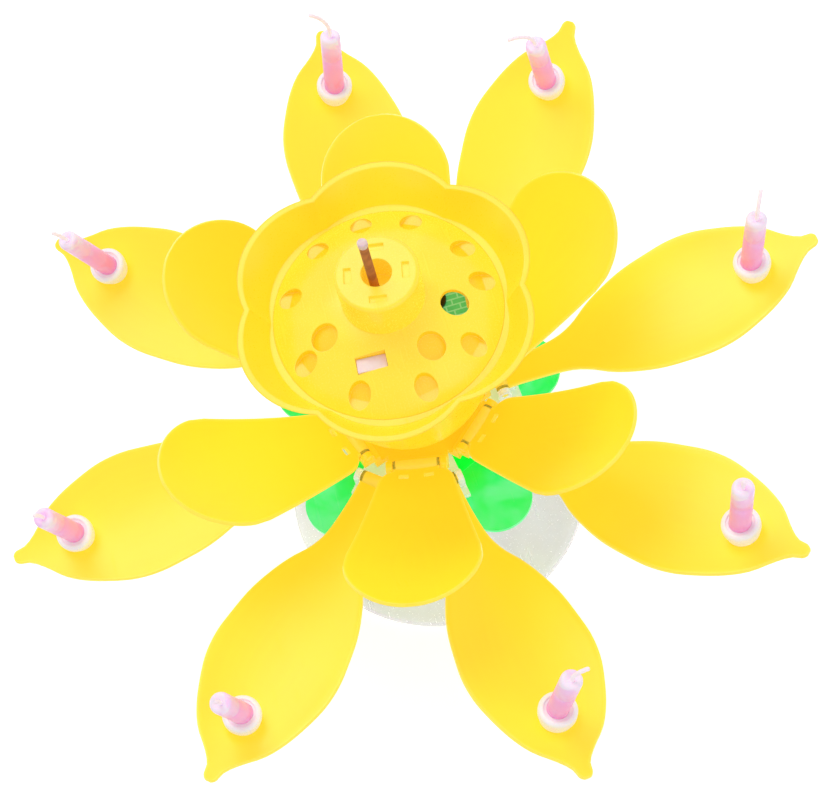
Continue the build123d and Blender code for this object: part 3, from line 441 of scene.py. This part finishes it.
def hinge_barrel(name, half_length):
    """Round barrel across the root, with a trunnion drawn out of each end."""
    nothing_selected()
    bpy.ops.mesh.primitive_cylinder_add(vertices=barrel_sides, radius=barrel_radius, depth=2 * half_length,
                                        rotation=(math.pi / 2, 0, 0))
    barrel = bpy.context.object
    barrel.name = name
    bpy.ops.object.transform_apply(location=True, rotation=True, scale=True)
    # The trunnions come out of the two flat ends.
    bpy.ops.object.mode_set(mode="OBJECT")
    for polygon in barrel.data.polygons:
        polygon.select = abs(polygon.normal.y) > 0.9
    bpy.ops.object.mode_set(mode="EDIT")
    bpy.ops.mesh.select_mode(type="FACE")
    bpy.ops.mesh.inset(thickness=barrel_radius - trunnion_radius, use_individual=True)
    bpy.ops.mesh.extrude_region_shrink_fatten(TRANSFORM_OT_shrink_fatten={"value": trunnion_length})
    bpy.ops.object.mode_set(mode="OBJECT")
    soften(barrel, width=barrel_edge_round, angle=60, segments=2)
    return barrel


def copy_of(piece, name, place):
    """Copy with its own mesh, laid at its place."""
    copied = piece.copy()
    copied.data = piece.data.copy()
    copied.name = name
    copied.data.transform(place)
    bpy.context.collection.objects.link(copied)
    return copied


def joined(first, *others):
    """Several meshes made one piece, which keeps the name of the first."""
    nothing_selected()
    for piece in (*others, first):
        piece.select_set(True)
    bpy.context.view_layer.objects.active = first
    bpy.ops.object.join()
    return first


def turn(angle, axis):
    """A turn by some degrees about an axis through the origin."""
    return Matrix.Rotation(math.radians(angle), 4, axis)


def polar(radius, azimuth, height):
    """A move to a place round the flower's axis."""
    angle = math.radians(azimuth)
    return Matrix.Translation((radius * math.cos(angle), radius * math.sin(angle), height))


def outer_hinge(index):
    """Place of a long petal's hinge, turned to the petal's direction."""
    azimuth = outer_azimuth + index * 360 / outer_count
    facing_out = turn(azimuth + outer_sway_angles[index], "Z")
    return polar(outer_hinge_radius, azimuth, outer_hinge_height) @ facing_out


def outer_lie(index):
    """The way a long petal hangs: raised, and rolled a little about its length."""
    return turn(-outer_rest_angles[index], "Y") @ turn(-outer_roll_angles[index], "X")


petal_lemon = (0.955, 0.73, 0.03)
petal_yellow = (0.955, 0.71, 0.03)
petal_root_shade = (0.95, 0.66, 0.022)
petal_rim_highlight = (0.96, 0.80, 0.11)
streak_spread = 260.0          # how fast the streaks change, for each metre in from the edge


def petal_tints(tree, colour):
    """Streaks along the blade, painted shade that deepens the root, and a painted highlight as a paler thin
    rim.
    """
    along = put(tree, "Attribute", attribute_name="along").outputs["Fac"]
    inward = put(tree, "Attribute", attribute_name="inward").outputs["Fac"]
    across = put(tree, "Math", {0: inward, 1: streak_spread}, operation="MULTIPLY").outputs[0]
    streak_place = put(tree, "CombineXYZ", {0: along, 1: across})
    streaks = put(tree, "TexNoise", {"Vector": streak_place.outputs[0], "Scale": 1.7, "Detail": 2.0})
    streaked = spread(tree, streaks.outputs["Fac"], 0.35, 0.7, 0, 0.5, True)
    colour = blend_colours(tree, streaked, colour, petal_lemon)
    # Painted shade: the root, near the bowl and under the short petals, is painted a deeper amber.
    root_painted_shade = spread(tree, along, 0.0, 0.28, 0.5, 0, True)
    colour = blend_colours(tree, root_painted_shade, colour, petal_root_shade)
    # Painted highlight: a thin paler rim along the blade's edge.
    rim_painted_highlight = spread(tree, inward, 0.1 * mm, 0.8 * mm, 0.45, 0, True)
    return blend_colours(tree, rim_painted_highlight, colour, petal_rim_highlight)


petal_plastic = moulded_plastic("petal_plastic", petal_yellow, petal_lemon, petal_rim_highlight, roughness=0.33,
                                glow=0.2, cloud_size=25 * mm, radius=0.25 * mm, tint=petal_tints,
                                painted_glow=0.25)

tip_angles = [90, 74, 58, 44, 32, 20]
outer_blade_run = outer_length - outer_tip_radius - outer_root_length
outer_stations = [outer_root_length * share for share in (0, 0.35, 0.7)]
outer_stations += [outer_root_length + outer_blade_run * step / outer_steps for step in range(outer_steps)]
outer_stations += [outer_length - outer_tip_radius * (1 - math.cos(math.radians(angle)))
                   for angle in tip_angles]
long_blade = blade("long_blade", outer_stations, outer_half_width_at, outer_chord, outer_dip,
                   outer_cup_radius, outer_rows)
soften(long_blade)
long_barrel = hinge_barrel("long_barrel", outer_root_half_width)
for index in range(outer_count):
    number = index + 1
    shown = copy_of(long_blade, f"long_petal_{number}", outer_hinge(index) @ outer_lie(index))
    barrel = copy_of(long_barrel, f"long_petal_barrel_{number}", outer_hinge(index))
    petal = joined(shown, barrel)
    petal.data.materials.clear()
    petal.data.materials.append(petal_plastic)
    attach(petal, f"outer_petal_{number}")
    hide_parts(f"outer_petal_{number}")
bpy.data.objects.remove(long_blade)
bpy.data.objects.remove(long_barrel)

# The candle holders.
# White sockets with a raised round rim, riveted through the long petals. Each one leans a little
# with its candle.
holder_white = (0.93, 0.91, 0.90)
holder_shade = (0.90, 0.87, 0.87)
holder_rim_highlight = (0.97, 0.96, 0.95)
holder_plastic = moulded_plastic("holder_plastic", holder_white, holder_shade, holder_rim_highlight, roughness=0.28,
                                 glow=0.25, cloud_size=5 * mm, radius=0.25 * mm, painted_glow=0.12)
dress(holder_plastic, *[f"candle_holder_{number}" for number in range(1, outer_count + 1)])

# The small candles.
# Cast wax, a clear pink at the foot that fades to lilac towards the top, with a faint ring where
# the two halves of the mould met. The top is rounded and dips round the wick.
holder_height = 5.2 * mm
candle_radius = 2.5 * mm
candle_above = 19.2 * mm
candle_below = 3.6 * mm
candle_sides = 48
candle_lean_angles = [11.7, 7.9, 12.9, 11.4, 4.6, 15.0, 9.4, 12.2]
# Outline of a candle: shares of its radius, and of its height above the holder
candle_outline_shares = [
    (1.0, 0.0), (1.0, 0.30), (0.995, 0.575), (0.965, 0.585), (0.965, 0.60), (0.995, 0.61), (1.0, 0.80),
    (1.0, 0.952), (0.975, 0.972), (0.91, 0.987), (0.80, 0.996), (0.66, 1.0), (0.50, 0.995), (0.36, 0.982),
    (0.25, 0.972), (0.19, 0.969),
]


def turned(name, outline, sides):
    """Round piece drawn up from a circle: each step is extruded, lifted and resized."""
    nothing_selected()
    radius, height = outline[0]
    bpy.ops.mesh.primitive_circle_add(vertices=sides, radius=radius, location=(0, 0, height),
                                      fill_type="NGON")
    piece = bpy.context.object
    piece.name = name
    bpy.ops.object.transform_apply(location=True, rotation=True, scale=True)
    bpy.ops.object.mode_set(mode="EDIT")
    bpy.ops.mesh.select_all(action="SELECT")
    for (before, low), (after, high) in zip(outline, outline[1:]):
        bpy.ops.mesh.extrude_region_move(TRANSFORM_OT_translate={"value": (0, 0, high - low)})
        bpy.ops.transform.resize(value=(after / before, after / before, 1), center_override=(0, 0, high))
    bpy.ops.mesh.select_all(action="SELECT")
    bpy.ops.mesh.normals_make_consistent(inside=False)
    bpy.ops.object.mode_set(mode="OBJECT")
    bpy.ops.object.shade_smooth_by_angle(angle=math.radians(40))
    return piece


def mark_height(piece, low, high):
    """Keeps on each point its share of the height between two levels."""
    upward = piece.data.attributes.new("upward", "FLOAT", "POINT")
    for vertex in piece.data.vertices:
        upward.data[vertex.index].value = (vertex.co.z - low) / (high - low)


candle_outline = [(candle_radius, -candle_below)]
candle_outline += [(candle_radius * out, candle_above * up) for out, up in candle_outline_shares]
plain_candle = turned("plain_candle", candle_outline, candle_sides)
mark_height(plain_candle, 0, candle_above)

wax_foot = (0.94, 0.32, 0.62)
wax_pink = (0.95, 0.42, 0.76)
wax_lilac = (0.91, 0.57, 0.88)
wax_palest_top = (0.90, 0.78, 0.90)
wax_painted_glow = 0.12
candle_wax, tree, shader = start_material("candle_wax")
skin = place_group(tree, mould_skin, Cloud_Size=4 * mm, Skin_Size=0.25 * mm)
rim = place_group(tree, soft_edge, Radius=0.2 * mm)
upward = put(tree, "Attribute", attribute_name="upward").outputs["Fac"]
uneven = spread(tree, skin["Cloud"], 0, 1, -0.10, 0.10)
wander = put(tree, "Math", {0: upward, 1: uneven}, operation="ADD").outputs[0]
colour = blend_colours(tree, spread(tree, wander, 0.0, 0.25, 0, 1, True), wax_foot, wax_pink)
colour = blend_colours(tree, spread(tree, wander, 0.5, 0.8, 0, 1, True), colour, wax_lilac)
# The candle is coloured palest towards its rounded top.
colour = blend_colours(tree, spread(tree, wander, 0.84, 1.02, 0, 1, True), colour, wax_palest_top)
tree.links.new(colour, shader.inputs["Base Color"])
# Painted glow: the emission makes the wax shine a little by itself, standing in for light through it.
tree.links.new(colour, shader.inputs["Emission Color"])
shader.inputs["Emission Strength"].default_value = wax_painted_glow
tree.links.new(spread(tree, skin["Skin"], noise_low, noise_high, 0.3, 0.46), shader.inputs["Roughness"])
bump = put(tree, "Bump", {"Height": skin["Skin"], "Normal": rim["Normal"], "Strength": 0.3,
                          "Distance": 0.04 * mm})
tree.links.new(bump.outputs[0], shader.inputs["Normal"])
shader.inputs["IOR"].default_value = 1.44
shader.inputs["Subsurface Weight"].default_value = 0.5
shader.inputs["Subsurface Radius"].default_value = (1.0, 0.5, 0.6)
shader.inputs["Subsurface Scale"].default_value = 2.0 * mm


def candle_place(index):
    """The candle's own frame: it leans outwards about the middle of its holder's top."""
    seat = Matrix.Translation((outer_chord, 0, holder_height))
    return outer_hinge(index) @ outer_lie(index) @ seat @ turn(candle_lean_angles[index], "Y")


for index in range(outer_count):
    number = index + 1
    wax = copy_of(plain_candle, f"small_candle_{number}", candle_place(index))
    wax.data.materials.append(candle_wax)
    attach(wax, f"outer_petal_{number}")
    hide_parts(f"candle_{number}")
bpy.data.objects.remove(plain_candle)

# The wicks.
# Three twisted strands of cotton, dipped in wax, that stand in the candle's top and curl to one
# side. Each candle's wick has its own length and curl.
wick_radius = 0.5 * mm
wick_root = 3.0 * mm           # in the wax
wick_straight = 1.0 * mm       # above the wax, before the curl
wick_lengths = [8.0 * mm, 10.0 * mm, 11.0 * mm, 5.0 * mm, 4.0 * mm, 3.0 * mm, 6.5 * mm, 3.5 * mm]
wick_bend_angles = [74.0, 95.0, 60.0, 35.0, 30.0, 20.0, 70.0, 25.0]
wick_turn_angles = [60.0, 129.0, 93.0, 20.0, 10.0, -40.0, 82.0, -60.0]
wick_step = 0.25 * mm
wick_twist = 22.0              # turn of the strands at each step
wick_sides = 12
strand_sides = 4               # of them on each of the three strands
strand_groove_share = 0.72
wick_end_share = 0.7

wick_cotton, tree, shader = start_material("wick_cotton")
wick_pale = (0.96, 0.86, 0.90)
wick_pink = (0.93, 0.76, 0.84)
wick_painted_glow = 0.2
skin = place_group(tree, mould_skin, Cloud_Size=1.5 * mm, Skin_Size=0.08 * mm)
colour = blend_colours(tree, skin["Cloud"], wick_pale, wick_pink)
tree.links.new(colour, shader.inputs["Base Color"])
# Painted glow: the emission makes the cotton shine a little by itself.
tree.links.new(colour, shader.inputs["Emission Color"])
shader.inputs["Emission Strength"].default_value = wick_painted_glow
tree.links.new(spread(tree, skin["Skin"], noise_low, noise_high, 0.5, 0.8), shader.inputs["Roughness"])
bump = put(tree, "Bump", {"Height": skin["Skin"], "Strength": 0.5, "Distance": 0.05 * mm})
tree.links.new(bump.outputs[0], shader.inputs["Normal"])
shader.inputs["Sheen Weight"].default_value = 0.3


def straight_wick(name, length):
    """Upright wick whose three strands are twisted step by step."""
    nothing_selected()
    base = candle_above - wick_root
    bpy.ops.mesh.primitive_circle_add(vertices=wick_sides, radius=wick_radius, location=(0, 0, base),
                                      fill_type="NGON")
    piece = bpy.context.object
    piece.name = name
    bpy.ops.object.transform_apply(location=True, rotation=True, scale=True)
    for vertex in piece.data.vertices:
        if vertex.index % strand_sides == 0:
            vertex.co.x *= strand_groove_share
            vertex.co.y *= strand_groove_share
    bpy.ops.object.mode_set(mode="EDIT")
    bpy.ops.mesh.select_all(action="SELECT")
    steps = round((wick_root + length) / wick_step)
    rise = (wick_root + length) / steps
    for step in range(1, steps + 1):
        bpy.ops.mesh.extrude_region_move(TRANSFORM_OT_translate={"value": (0, 0, rise)})
        bpy.ops.transform.rotate(value=math.radians(wick_twist), orient_axis="Z",
                                 center_override=(0, 0, base + step * rise))
    bpy.ops.transform.resize(value=(wick_end_share, wick_end_share, 1),
                             center_override=(0, 0, base + steps * rise))
    bpy.ops.mesh.select_all(action="SELECT")
    bpy.ops.mesh.normals_make_consistent(inside=False)
    bpy.ops.object.mode_set(mode="OBJECT")
    return piece


for index in range(outer_count):
    number = index + 1
    thread = straight_wick(f"wick_thread_{number}", wick_lengths[index])
    # The free end follows an arc, which starts a little above the wax.
    bend_height = candle_above + wick_straight
    curl_radius = (wick_lengths[index] - wick_straight) / math.radians(wick_bend_angles[index])
    for vertex in thread.data.vertices:
        risen = vertex.co.z - bend_height
        if risen > 0:
            angle = risen / curl_radius
            reach = curl_radius - vertex.co.x
            vertex.co.x = curl_radius - reach * math.cos(angle)
            vertex.co.z = bend_height + reach * math.sin(angle)
    thread.data.transform(candle_place(index) @ turn(wick_turn_angles[index], "Z"))
    work_on(thread)
    bpy.ops.object.shade_smooth_by_angle(angle=math.radians(60))
    thread.data.materials.append(wick_cotton)
    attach(thread, f"outer_petal_{number}")
    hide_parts(f"wick_{number}")

# The short petals.
# Six shorter blades of the same yellow plastic, broad and round at the end. They stand up round
# the bowl, hinge on the upper ring, and have two small slots moulded in the root.
inner_count = 6
inner_azimuth = 77.61
inner_hinge_radius = 17.5 * mm
inner_hinge_height = 56.5 * mm
inner_length = 54.4 * mm
inner_end_radius = 15.7 * mm
inner_dip = 2.2 * mm
inner_cup_radius = 45.0 * mm
inner_root_half_width = 5.6 * mm
inner_root_length = 2.2 * mm
inner_shoulder_length = 7.0 * mm
inner_shoulder_half_width = 9.3 * mm
inner_shoulder_round_share = 0.8
inner_slot_length = 1.3 * mm
inner_slot_width = 2.4 * mm
inner_slot_distance = 4.2 * mm
inner_slot_offset = 3.0 * mm
inner_slot_round = 0.25 * mm
inner_edge_round = 0.22 * mm
inner_rows = 20                # strips across the blade
inner_side_steps = 22          # and along its straight sides
inner_rest_angles = [31.5, 39.4, 40.1, 33.4, 35.4, 39.5]
inner_sway_angles = [3.9, 7.0, -4.2, 0.7, 0.8, 1.7]
inner_end_centre = inner_length - inner_end_radius
shoulder_reach = math.hypot(inner_end_centre - inner_shoulder_length, inner_shoulder_half_width)
side_slope = (math.asin(inner_end_radius / shoulder_reach)
              - math.atan2(inner_shoulder_half_width, inner_end_centre - inner_shoulder_length))
side_end = inner_end_centre - inner_end_radius * math.sin(side_slope)


def inner_half_width_at(x):
    """Half width of a short petal: straight root, round shoulder, straight side and round end."""
    if x <= inner_root_length:
        return inner_root_half_width
    if x < inner_shoulder_length:
        rise = inner_shoulder_half_width - inner_root_half_width
        run = inner_shoulder_length - inner_root_length
        pull = 1 - inner_shoulder_round_share
        done = (x - inner_root_length) / run
        t = (math.sqrt(pull ** 2 + (1 - 2 * pull) * done) - pull) / (1 - 2 * pull)
        return inner_root_half_width + rise * (2 * t * (1 - t) * inner_shoulder_round_share + t * t)
    if x < side_end:
        return inner_shoulder_half_width + (x - inner_shoulder_length) * math.tan(side_slope)
    return math.sqrt(max(inner_end_radius ** 2 - (x - inner_end_centre) ** 2, 0))


inner_stations = [inner_root_length * share for share in (0, 0.5, 1)]
inner_stations += [inner_root_length + (inner_shoulder_length - inner_root_length) * share
                   for share in (0.08, 0.2, 0.4, 0.6, 0.8, 1)]
inner_stations += [inner_shoulder_length + (side_end - inner_shoulder_length) * step / inner_side_steps
                   for step in range(1, inner_side_steps + 1)]
inner_stations += [inner_end_centre + inner_end_radius * math.cos(math.radians(angle))
                   for angle in range(86, 4, -5)]
short_blade = blade("short_blade", inner_stations, inner_half_width_at, inner_length, inner_dip,
                    inner_cup_radius, inner_rows)
for side in (-inner_slot_offset, inner_slot_offset):
    nothing_selected()
    bpy.ops.mesh.primitive_cube_add(size=1, location=(inner_slot_distance, side, 0),
                                    scale=(inner_slot_length, inner_slot_width, inner_end_radius))
    cutter = bpy.context.object
    bpy.ops.object.transform_apply(location=True, rotation=True, scale=True)
    soften(cutter, width=inner_slot_round, angle=60, segments=3)
    work_on(short_blade)
    apply_modifier(short_blade, "BOOLEAN", object=cutter, operation="DIFFERENCE", solver="EXACT")
    bpy.data.objects.remove(cutter)
soften(short_blade, width=inner_edge_round)
short_barrel = hinge_barrel("short_barrel", inner_root_half_width)
for index in range(inner_count):
    number = index + 1
    azimuth = inner_azimuth - index * 360 / inner_count
    facing_out = turn(azimuth + inner_sway_angles[index], "Z")
    hinge = polar(inner_hinge_radius, azimuth, inner_hinge_height) @ facing_out
    shown = copy_of(short_blade, f"short_petal_{number}", hinge @ turn(-inner_rest_angles[index], "Y"))
    barrel = copy_of(short_barrel, f"short_petal_barrel_{number}", hinge)
    petal = joined(shown, barrel)
    petal.data.materials.clear()
    petal.data.materials.append(petal_plastic)
    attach(petal, f"inner_petal_{number}")
    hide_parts(f"inner_petal_{number}")
bpy.data.objects.remove(short_blade)
bpy.data.objects.remove(short_barrel)

# The bowl.
# A lobed cup of yellow plastic in the middle of the flower, moulded with its floor, its sleeve on
# the post and the pillars for the works. Its rim flares out in six shallow lobes.
bowl_plastic = moulded_plastic("bowl_plastic", body_yellow, body_amber, body_rim_highlight, roughness=0.3, glow=0.2,
                               cloud_size=30 * mm, radius=0.45 * mm, painted_glow=0.25)
dress(bowl_plastic, "centre_bowl")

# The works under the seed plate.
# A white cover is screwed over the gears and carries the motor and three button cells, which two
# stamped strips join. A circuit board with a drop of resin hangs under the plate beside the disc
# that plays the tune.
# Each metal: its bright and its dull colour, its roughness, and the nodes made of it
works_metals = {
    "motor_can": ((0.70, 0.70, 0.72), (0.58, 0.58, 0.60), 0.28, ["drive_motor"]),
    "cell_nickel": ((0.78, 0.78, 0.78), (0.66, 0.66, 0.66), 0.16, ["button_cells"]),
    "strip_brass": ((0.78, 0.62, 0.30), (0.62, 0.47, 0.20), 0.3, ["battery_clips", "motor_pinion"]),
    "sounder_brass": ((0.80, 0.64, 0.30), (0.68, 0.52, 0.22), 0.22, ["sounder_disc"]),
}
for metal, (bright, dull, roughness, made_of_it) in works_metals.items():
    dress(worked_metal(metal, bright, dull, roughness), *made_of_it)

board_green = (0.10, 0.66, 0.24)
board_shade = (0.06, 0.56, 0.19)
track_mint = (0.28, 0.84, 0.46)
board_painted_glow = 0.35
board_material, tree, shader = start_material("circuit_board")
place = put(tree, "TexCoord").outputs["Object"]
tracks = put(tree, "TexBrick", {"Vector": place, "Scale": 500.0, "Mortar Size": 0.08,
                                "Brick Width": 1.6, "Row Height": 0.7,
                                "Color1": (0, 0, 0, 1), "Color2": (0, 0, 0, 1), "Mortar": (1, 1, 1, 1)})
skin = place_group(tree, mould_skin, Cloud_Size=6 * mm)
colour = blend_colours(tree, skin["Cloud"], board_green, board_shade)
colour = blend_colours(tree, tracks.outputs["Color"], colour, track_mint)
tree.links.new(colour, shader.inputs["Base Color"])
# Painted glow: the emission makes the board shine a little by itself, standing in for light through it.
tree.links.new(colour, shader.inputs["Emission Color"])
shader.inputs["Emission Strength"].default_value = board_painted_glow
tree.links.new(spread(tree, skin["Skin"], noise_low, noise_high, 0.3, 0.45), shader.inputs["Roughness"])
bump = put(tree, "Bump", {"Height": tracks.outputs["Fac"], "Strength": 0.3, "Distance": 0.03 * mm})
tree.links.new(bump.outputs[0], shader.inputs["Normal"])
dress(board_material, "circuit_board")
resin_black = (0.012, 0.012, 0.012)
resin_grey = (0.02, 0.02, 0.02)
resin_edge_highlight = (0.05, 0.05, 0.05)
dress(moulded_plastic("resin_black", resin_black, resin_grey, resin_edge_highlight, roughness=0.15, glow=0.0,
                      cloud_size=3 * mm), "sound_chip")

# The seed plate.
# A domed yellow plate that is glued on a ledge in the bowl. Its seed holes are blind pockets but for
# one, through which the circuit board shows. Its raised boss holds the fuse, and a small window lets
# the sensor see the flame.
plate_yellow = (0.955, 0.72, 0.045)
plate_amber = (0.95, 0.68, 0.035)
plate_rim_highlight = (0.96, 0.84, 0.16)
pocket_shade_amber = (0.90, 0.57, 0.012)
pocket_shade_share = 0.8
pocket_shallow = 0.1 * mm      # below the dome, where the deeper colour starts
pocket_deep = 0.35 * mm        # and where it is full
plate_sphere_radius = 42.06 * mm
plate_sphere_height = 69.54 * mm


def painted_pocket_shade(tree, colour):
    """Painted shade: the seed pockets, which lie below the dome's round face, are painted a deeper amber."""
    up = put(tree, "VectorMath", {0: put(tree, "TexCoord").outputs["Object"], 1: (0, 0, plate_sphere_height)},
             operation="SUBTRACT").outputs[0]
    out = put(tree, "VectorMath", {0: up}, operation="LENGTH").outputs["Value"]
    sunk_shade = spread(tree, out, plate_sphere_radius - pocket_deep, plate_sphere_radius - pocket_shallow,
                  pocket_shade_share, 0, True)
    return blend_colours(tree, sunk_shade, colour, pocket_shade_amber)


plate_plastic = moulded_plastic("plate_plastic", plate_yellow, plate_amber, plate_rim_highlight, roughness=0.24,
                                glow=0.25, cloud_size=16 * mm, radius=0.3 * mm, tint=painted_pocket_shade,
                                painted_glow=0.25)
dress(plate_plastic, "seed_plate")

# The flame sensor.
# A small block of clear pink resin, set a little below the window in the plate.
sensor_pink = (0.90, 0.74, 0.76)
sensor_shade = (0.88, 0.68, 0.72)
sensor_edge_highlight = (0.95, 0.88, 0.88)
dress(moulded_plastic("sensor_resin", sensor_pink, sensor_shade, sensor_edge_highlight, roughness=0.15, glow=0.3,
                      cloud_size=2 * mm, radius=0.2 * mm), "flame_sensor")

# The fuse.
# A thin coated stick the colour of copper, which stands in the boss, with a drop of pale wax on
# its end.
fuse_copper = (0.50, 0.17, 0.06)
fuse_brown = (0.36, 0.10, 0.04)
fuse_edge_highlight = (0.62, 0.28, 0.14)
dress(moulded_plastic("fuse_coat", fuse_copper, fuse_brown, fuse_edge_highlight, roughness=0.5, glow=0.0,
                      cloud_size=2 * mm, radius=0.1 * mm), "fuse_stick")
drop_pale = (0.92, 0.70, 0.68)
drop_pink = (0.90, 0.60, 0.60)
drop_edge_highlight = (0.95, 0.80, 0.78)
dress(moulded_plastic("fuse_wax", drop_pale, drop_pink, drop_edge_highlight, roughness=0.4, glow=0.4,
                      cloud_size=1.5 * mm, radius=0.15 * mm), "fuse_tip")

# The table top that the candle stands on, and the light.
# A plain white floor that keeps a soft shadow, under an even sky, with a broad lamp behind and a
# weaker one in front.
floor_size = 4.0
floor_lift = 0.55
sky_strength = 0.60


def seen_as_backdrop(tree):
    """1 where the backdrop is seen, straight, mirrored or through clear plastic, and 0 for its light."""
    paths = put(tree, "LightPath").outputs
    seen = paths["Is Camera Ray"]
    for kind in ("Is Glossy Ray", "Is Transmission Ray"):
        seen = put(tree, "Math", {0: seen, 1: paths[kind]}, operation="MAXIMUM").outputs[0]
    return seen


nothing_selected()
bpy.ops.mesh.primitive_plane_add(size=floor_size)
floor = bpy.context.object
floor.name = "floor"
floor_white, tree, shader = start_material("floor_white")
shader.inputs["Base Color"].default_value = (0.92, 0.92, 0.92, 1)
shader.inputs["Roughness"].default_value = 0.9
shader.inputs["Specular IOR Level"].default_value = 0.1
shader.inputs["Emission Color"].default_value = (1, 1, 1, 1)
lift = put(tree, "Math", {0: seen_as_backdrop(tree), 1: floor_lift}, operation="MULTIPLY").outputs[0]
tree.links.new(lift, shader.inputs["Emission Strength"])
floor.data.materials.append(floor_white)

world = bpy.data.worlds.new("sky")
bpy.context.scene.world = world
world.use_nodes = True
tree = world.node_tree
tree.nodes.clear()
strength = spread(tree, seen_as_backdrop(tree), 0, 1, sky_strength, 1.0)
sky = put(tree, "Background", {"Color": (1, 1, 1, 1), "Strength": strength})
tree.links.new(sky.outputs[0], put(tree, "OutputWorld").inputs["Surface"])


def lamp(name, place, target, size, power):
    """Broad square lamp that faces the target."""
    light = bpy.data.lights.new(name, "AREA")
    light.size = size
    light.energy = power
    holder = bpy.data.objects.new(name, light)
    holder.location = place
    holder.rotation_euler = (Vector(target) - Vector(place)).to_track_quat("-Z", "Y").to_euler()
    bpy.context.collection.objects.link(holder)


middle = (0, 0, 60 * mm)
lamp("key_lamp", (-0.15, 0.45, 0.9), middle, size=0.6, power=2.8)
lamp("fill_lamp", (0.4, -0.7, 0.7), middle, size=0.8, power=1.6)

# The camera, at the photograph's viewing angle.
image_width = 829
focal_pixels = 2012.8
sensor = 36.0
view_distance = 493.06 * mm
view_tilt = math.radians(25.67)        # from straight down
view_roll = math.radians(-16.36)
view_target = Vector((0.17 * mm, 1.91 * mm, 52.0 * mm))
camera_data = bpy.data.cameras.new("camera")
camera_data.sensor_width = sensor
camera_data.lens = focal_pixels * sensor / image_width
camera = bpy.data.objects.new("camera", camera_data)
bpy.context.collection.objects.link(camera)
back = Vector((0, -math.sin(view_tilt), math.cos(view_tilt)))
across = (-back).cross(Vector((0, 0, 1))).normalized()
upright = across.cross(-back)
rolled_across = math.cos(view_roll) * across + math.sin(view_roll) * upright
rolled_upright = math.cos(view_roll) * upright - math.sin(view_roll) * across
facing = Matrix((rolled_across, rolled_upright, back)).transposed().to_4x4()
camera.matrix_world = Matrix.Translation(view_target + view_distance * back) @ facing
bpy.context.scene.camera = camera
bpy.context.scene.view_settings.view_transform = "Standard"

bpy.context.view_layer.update()
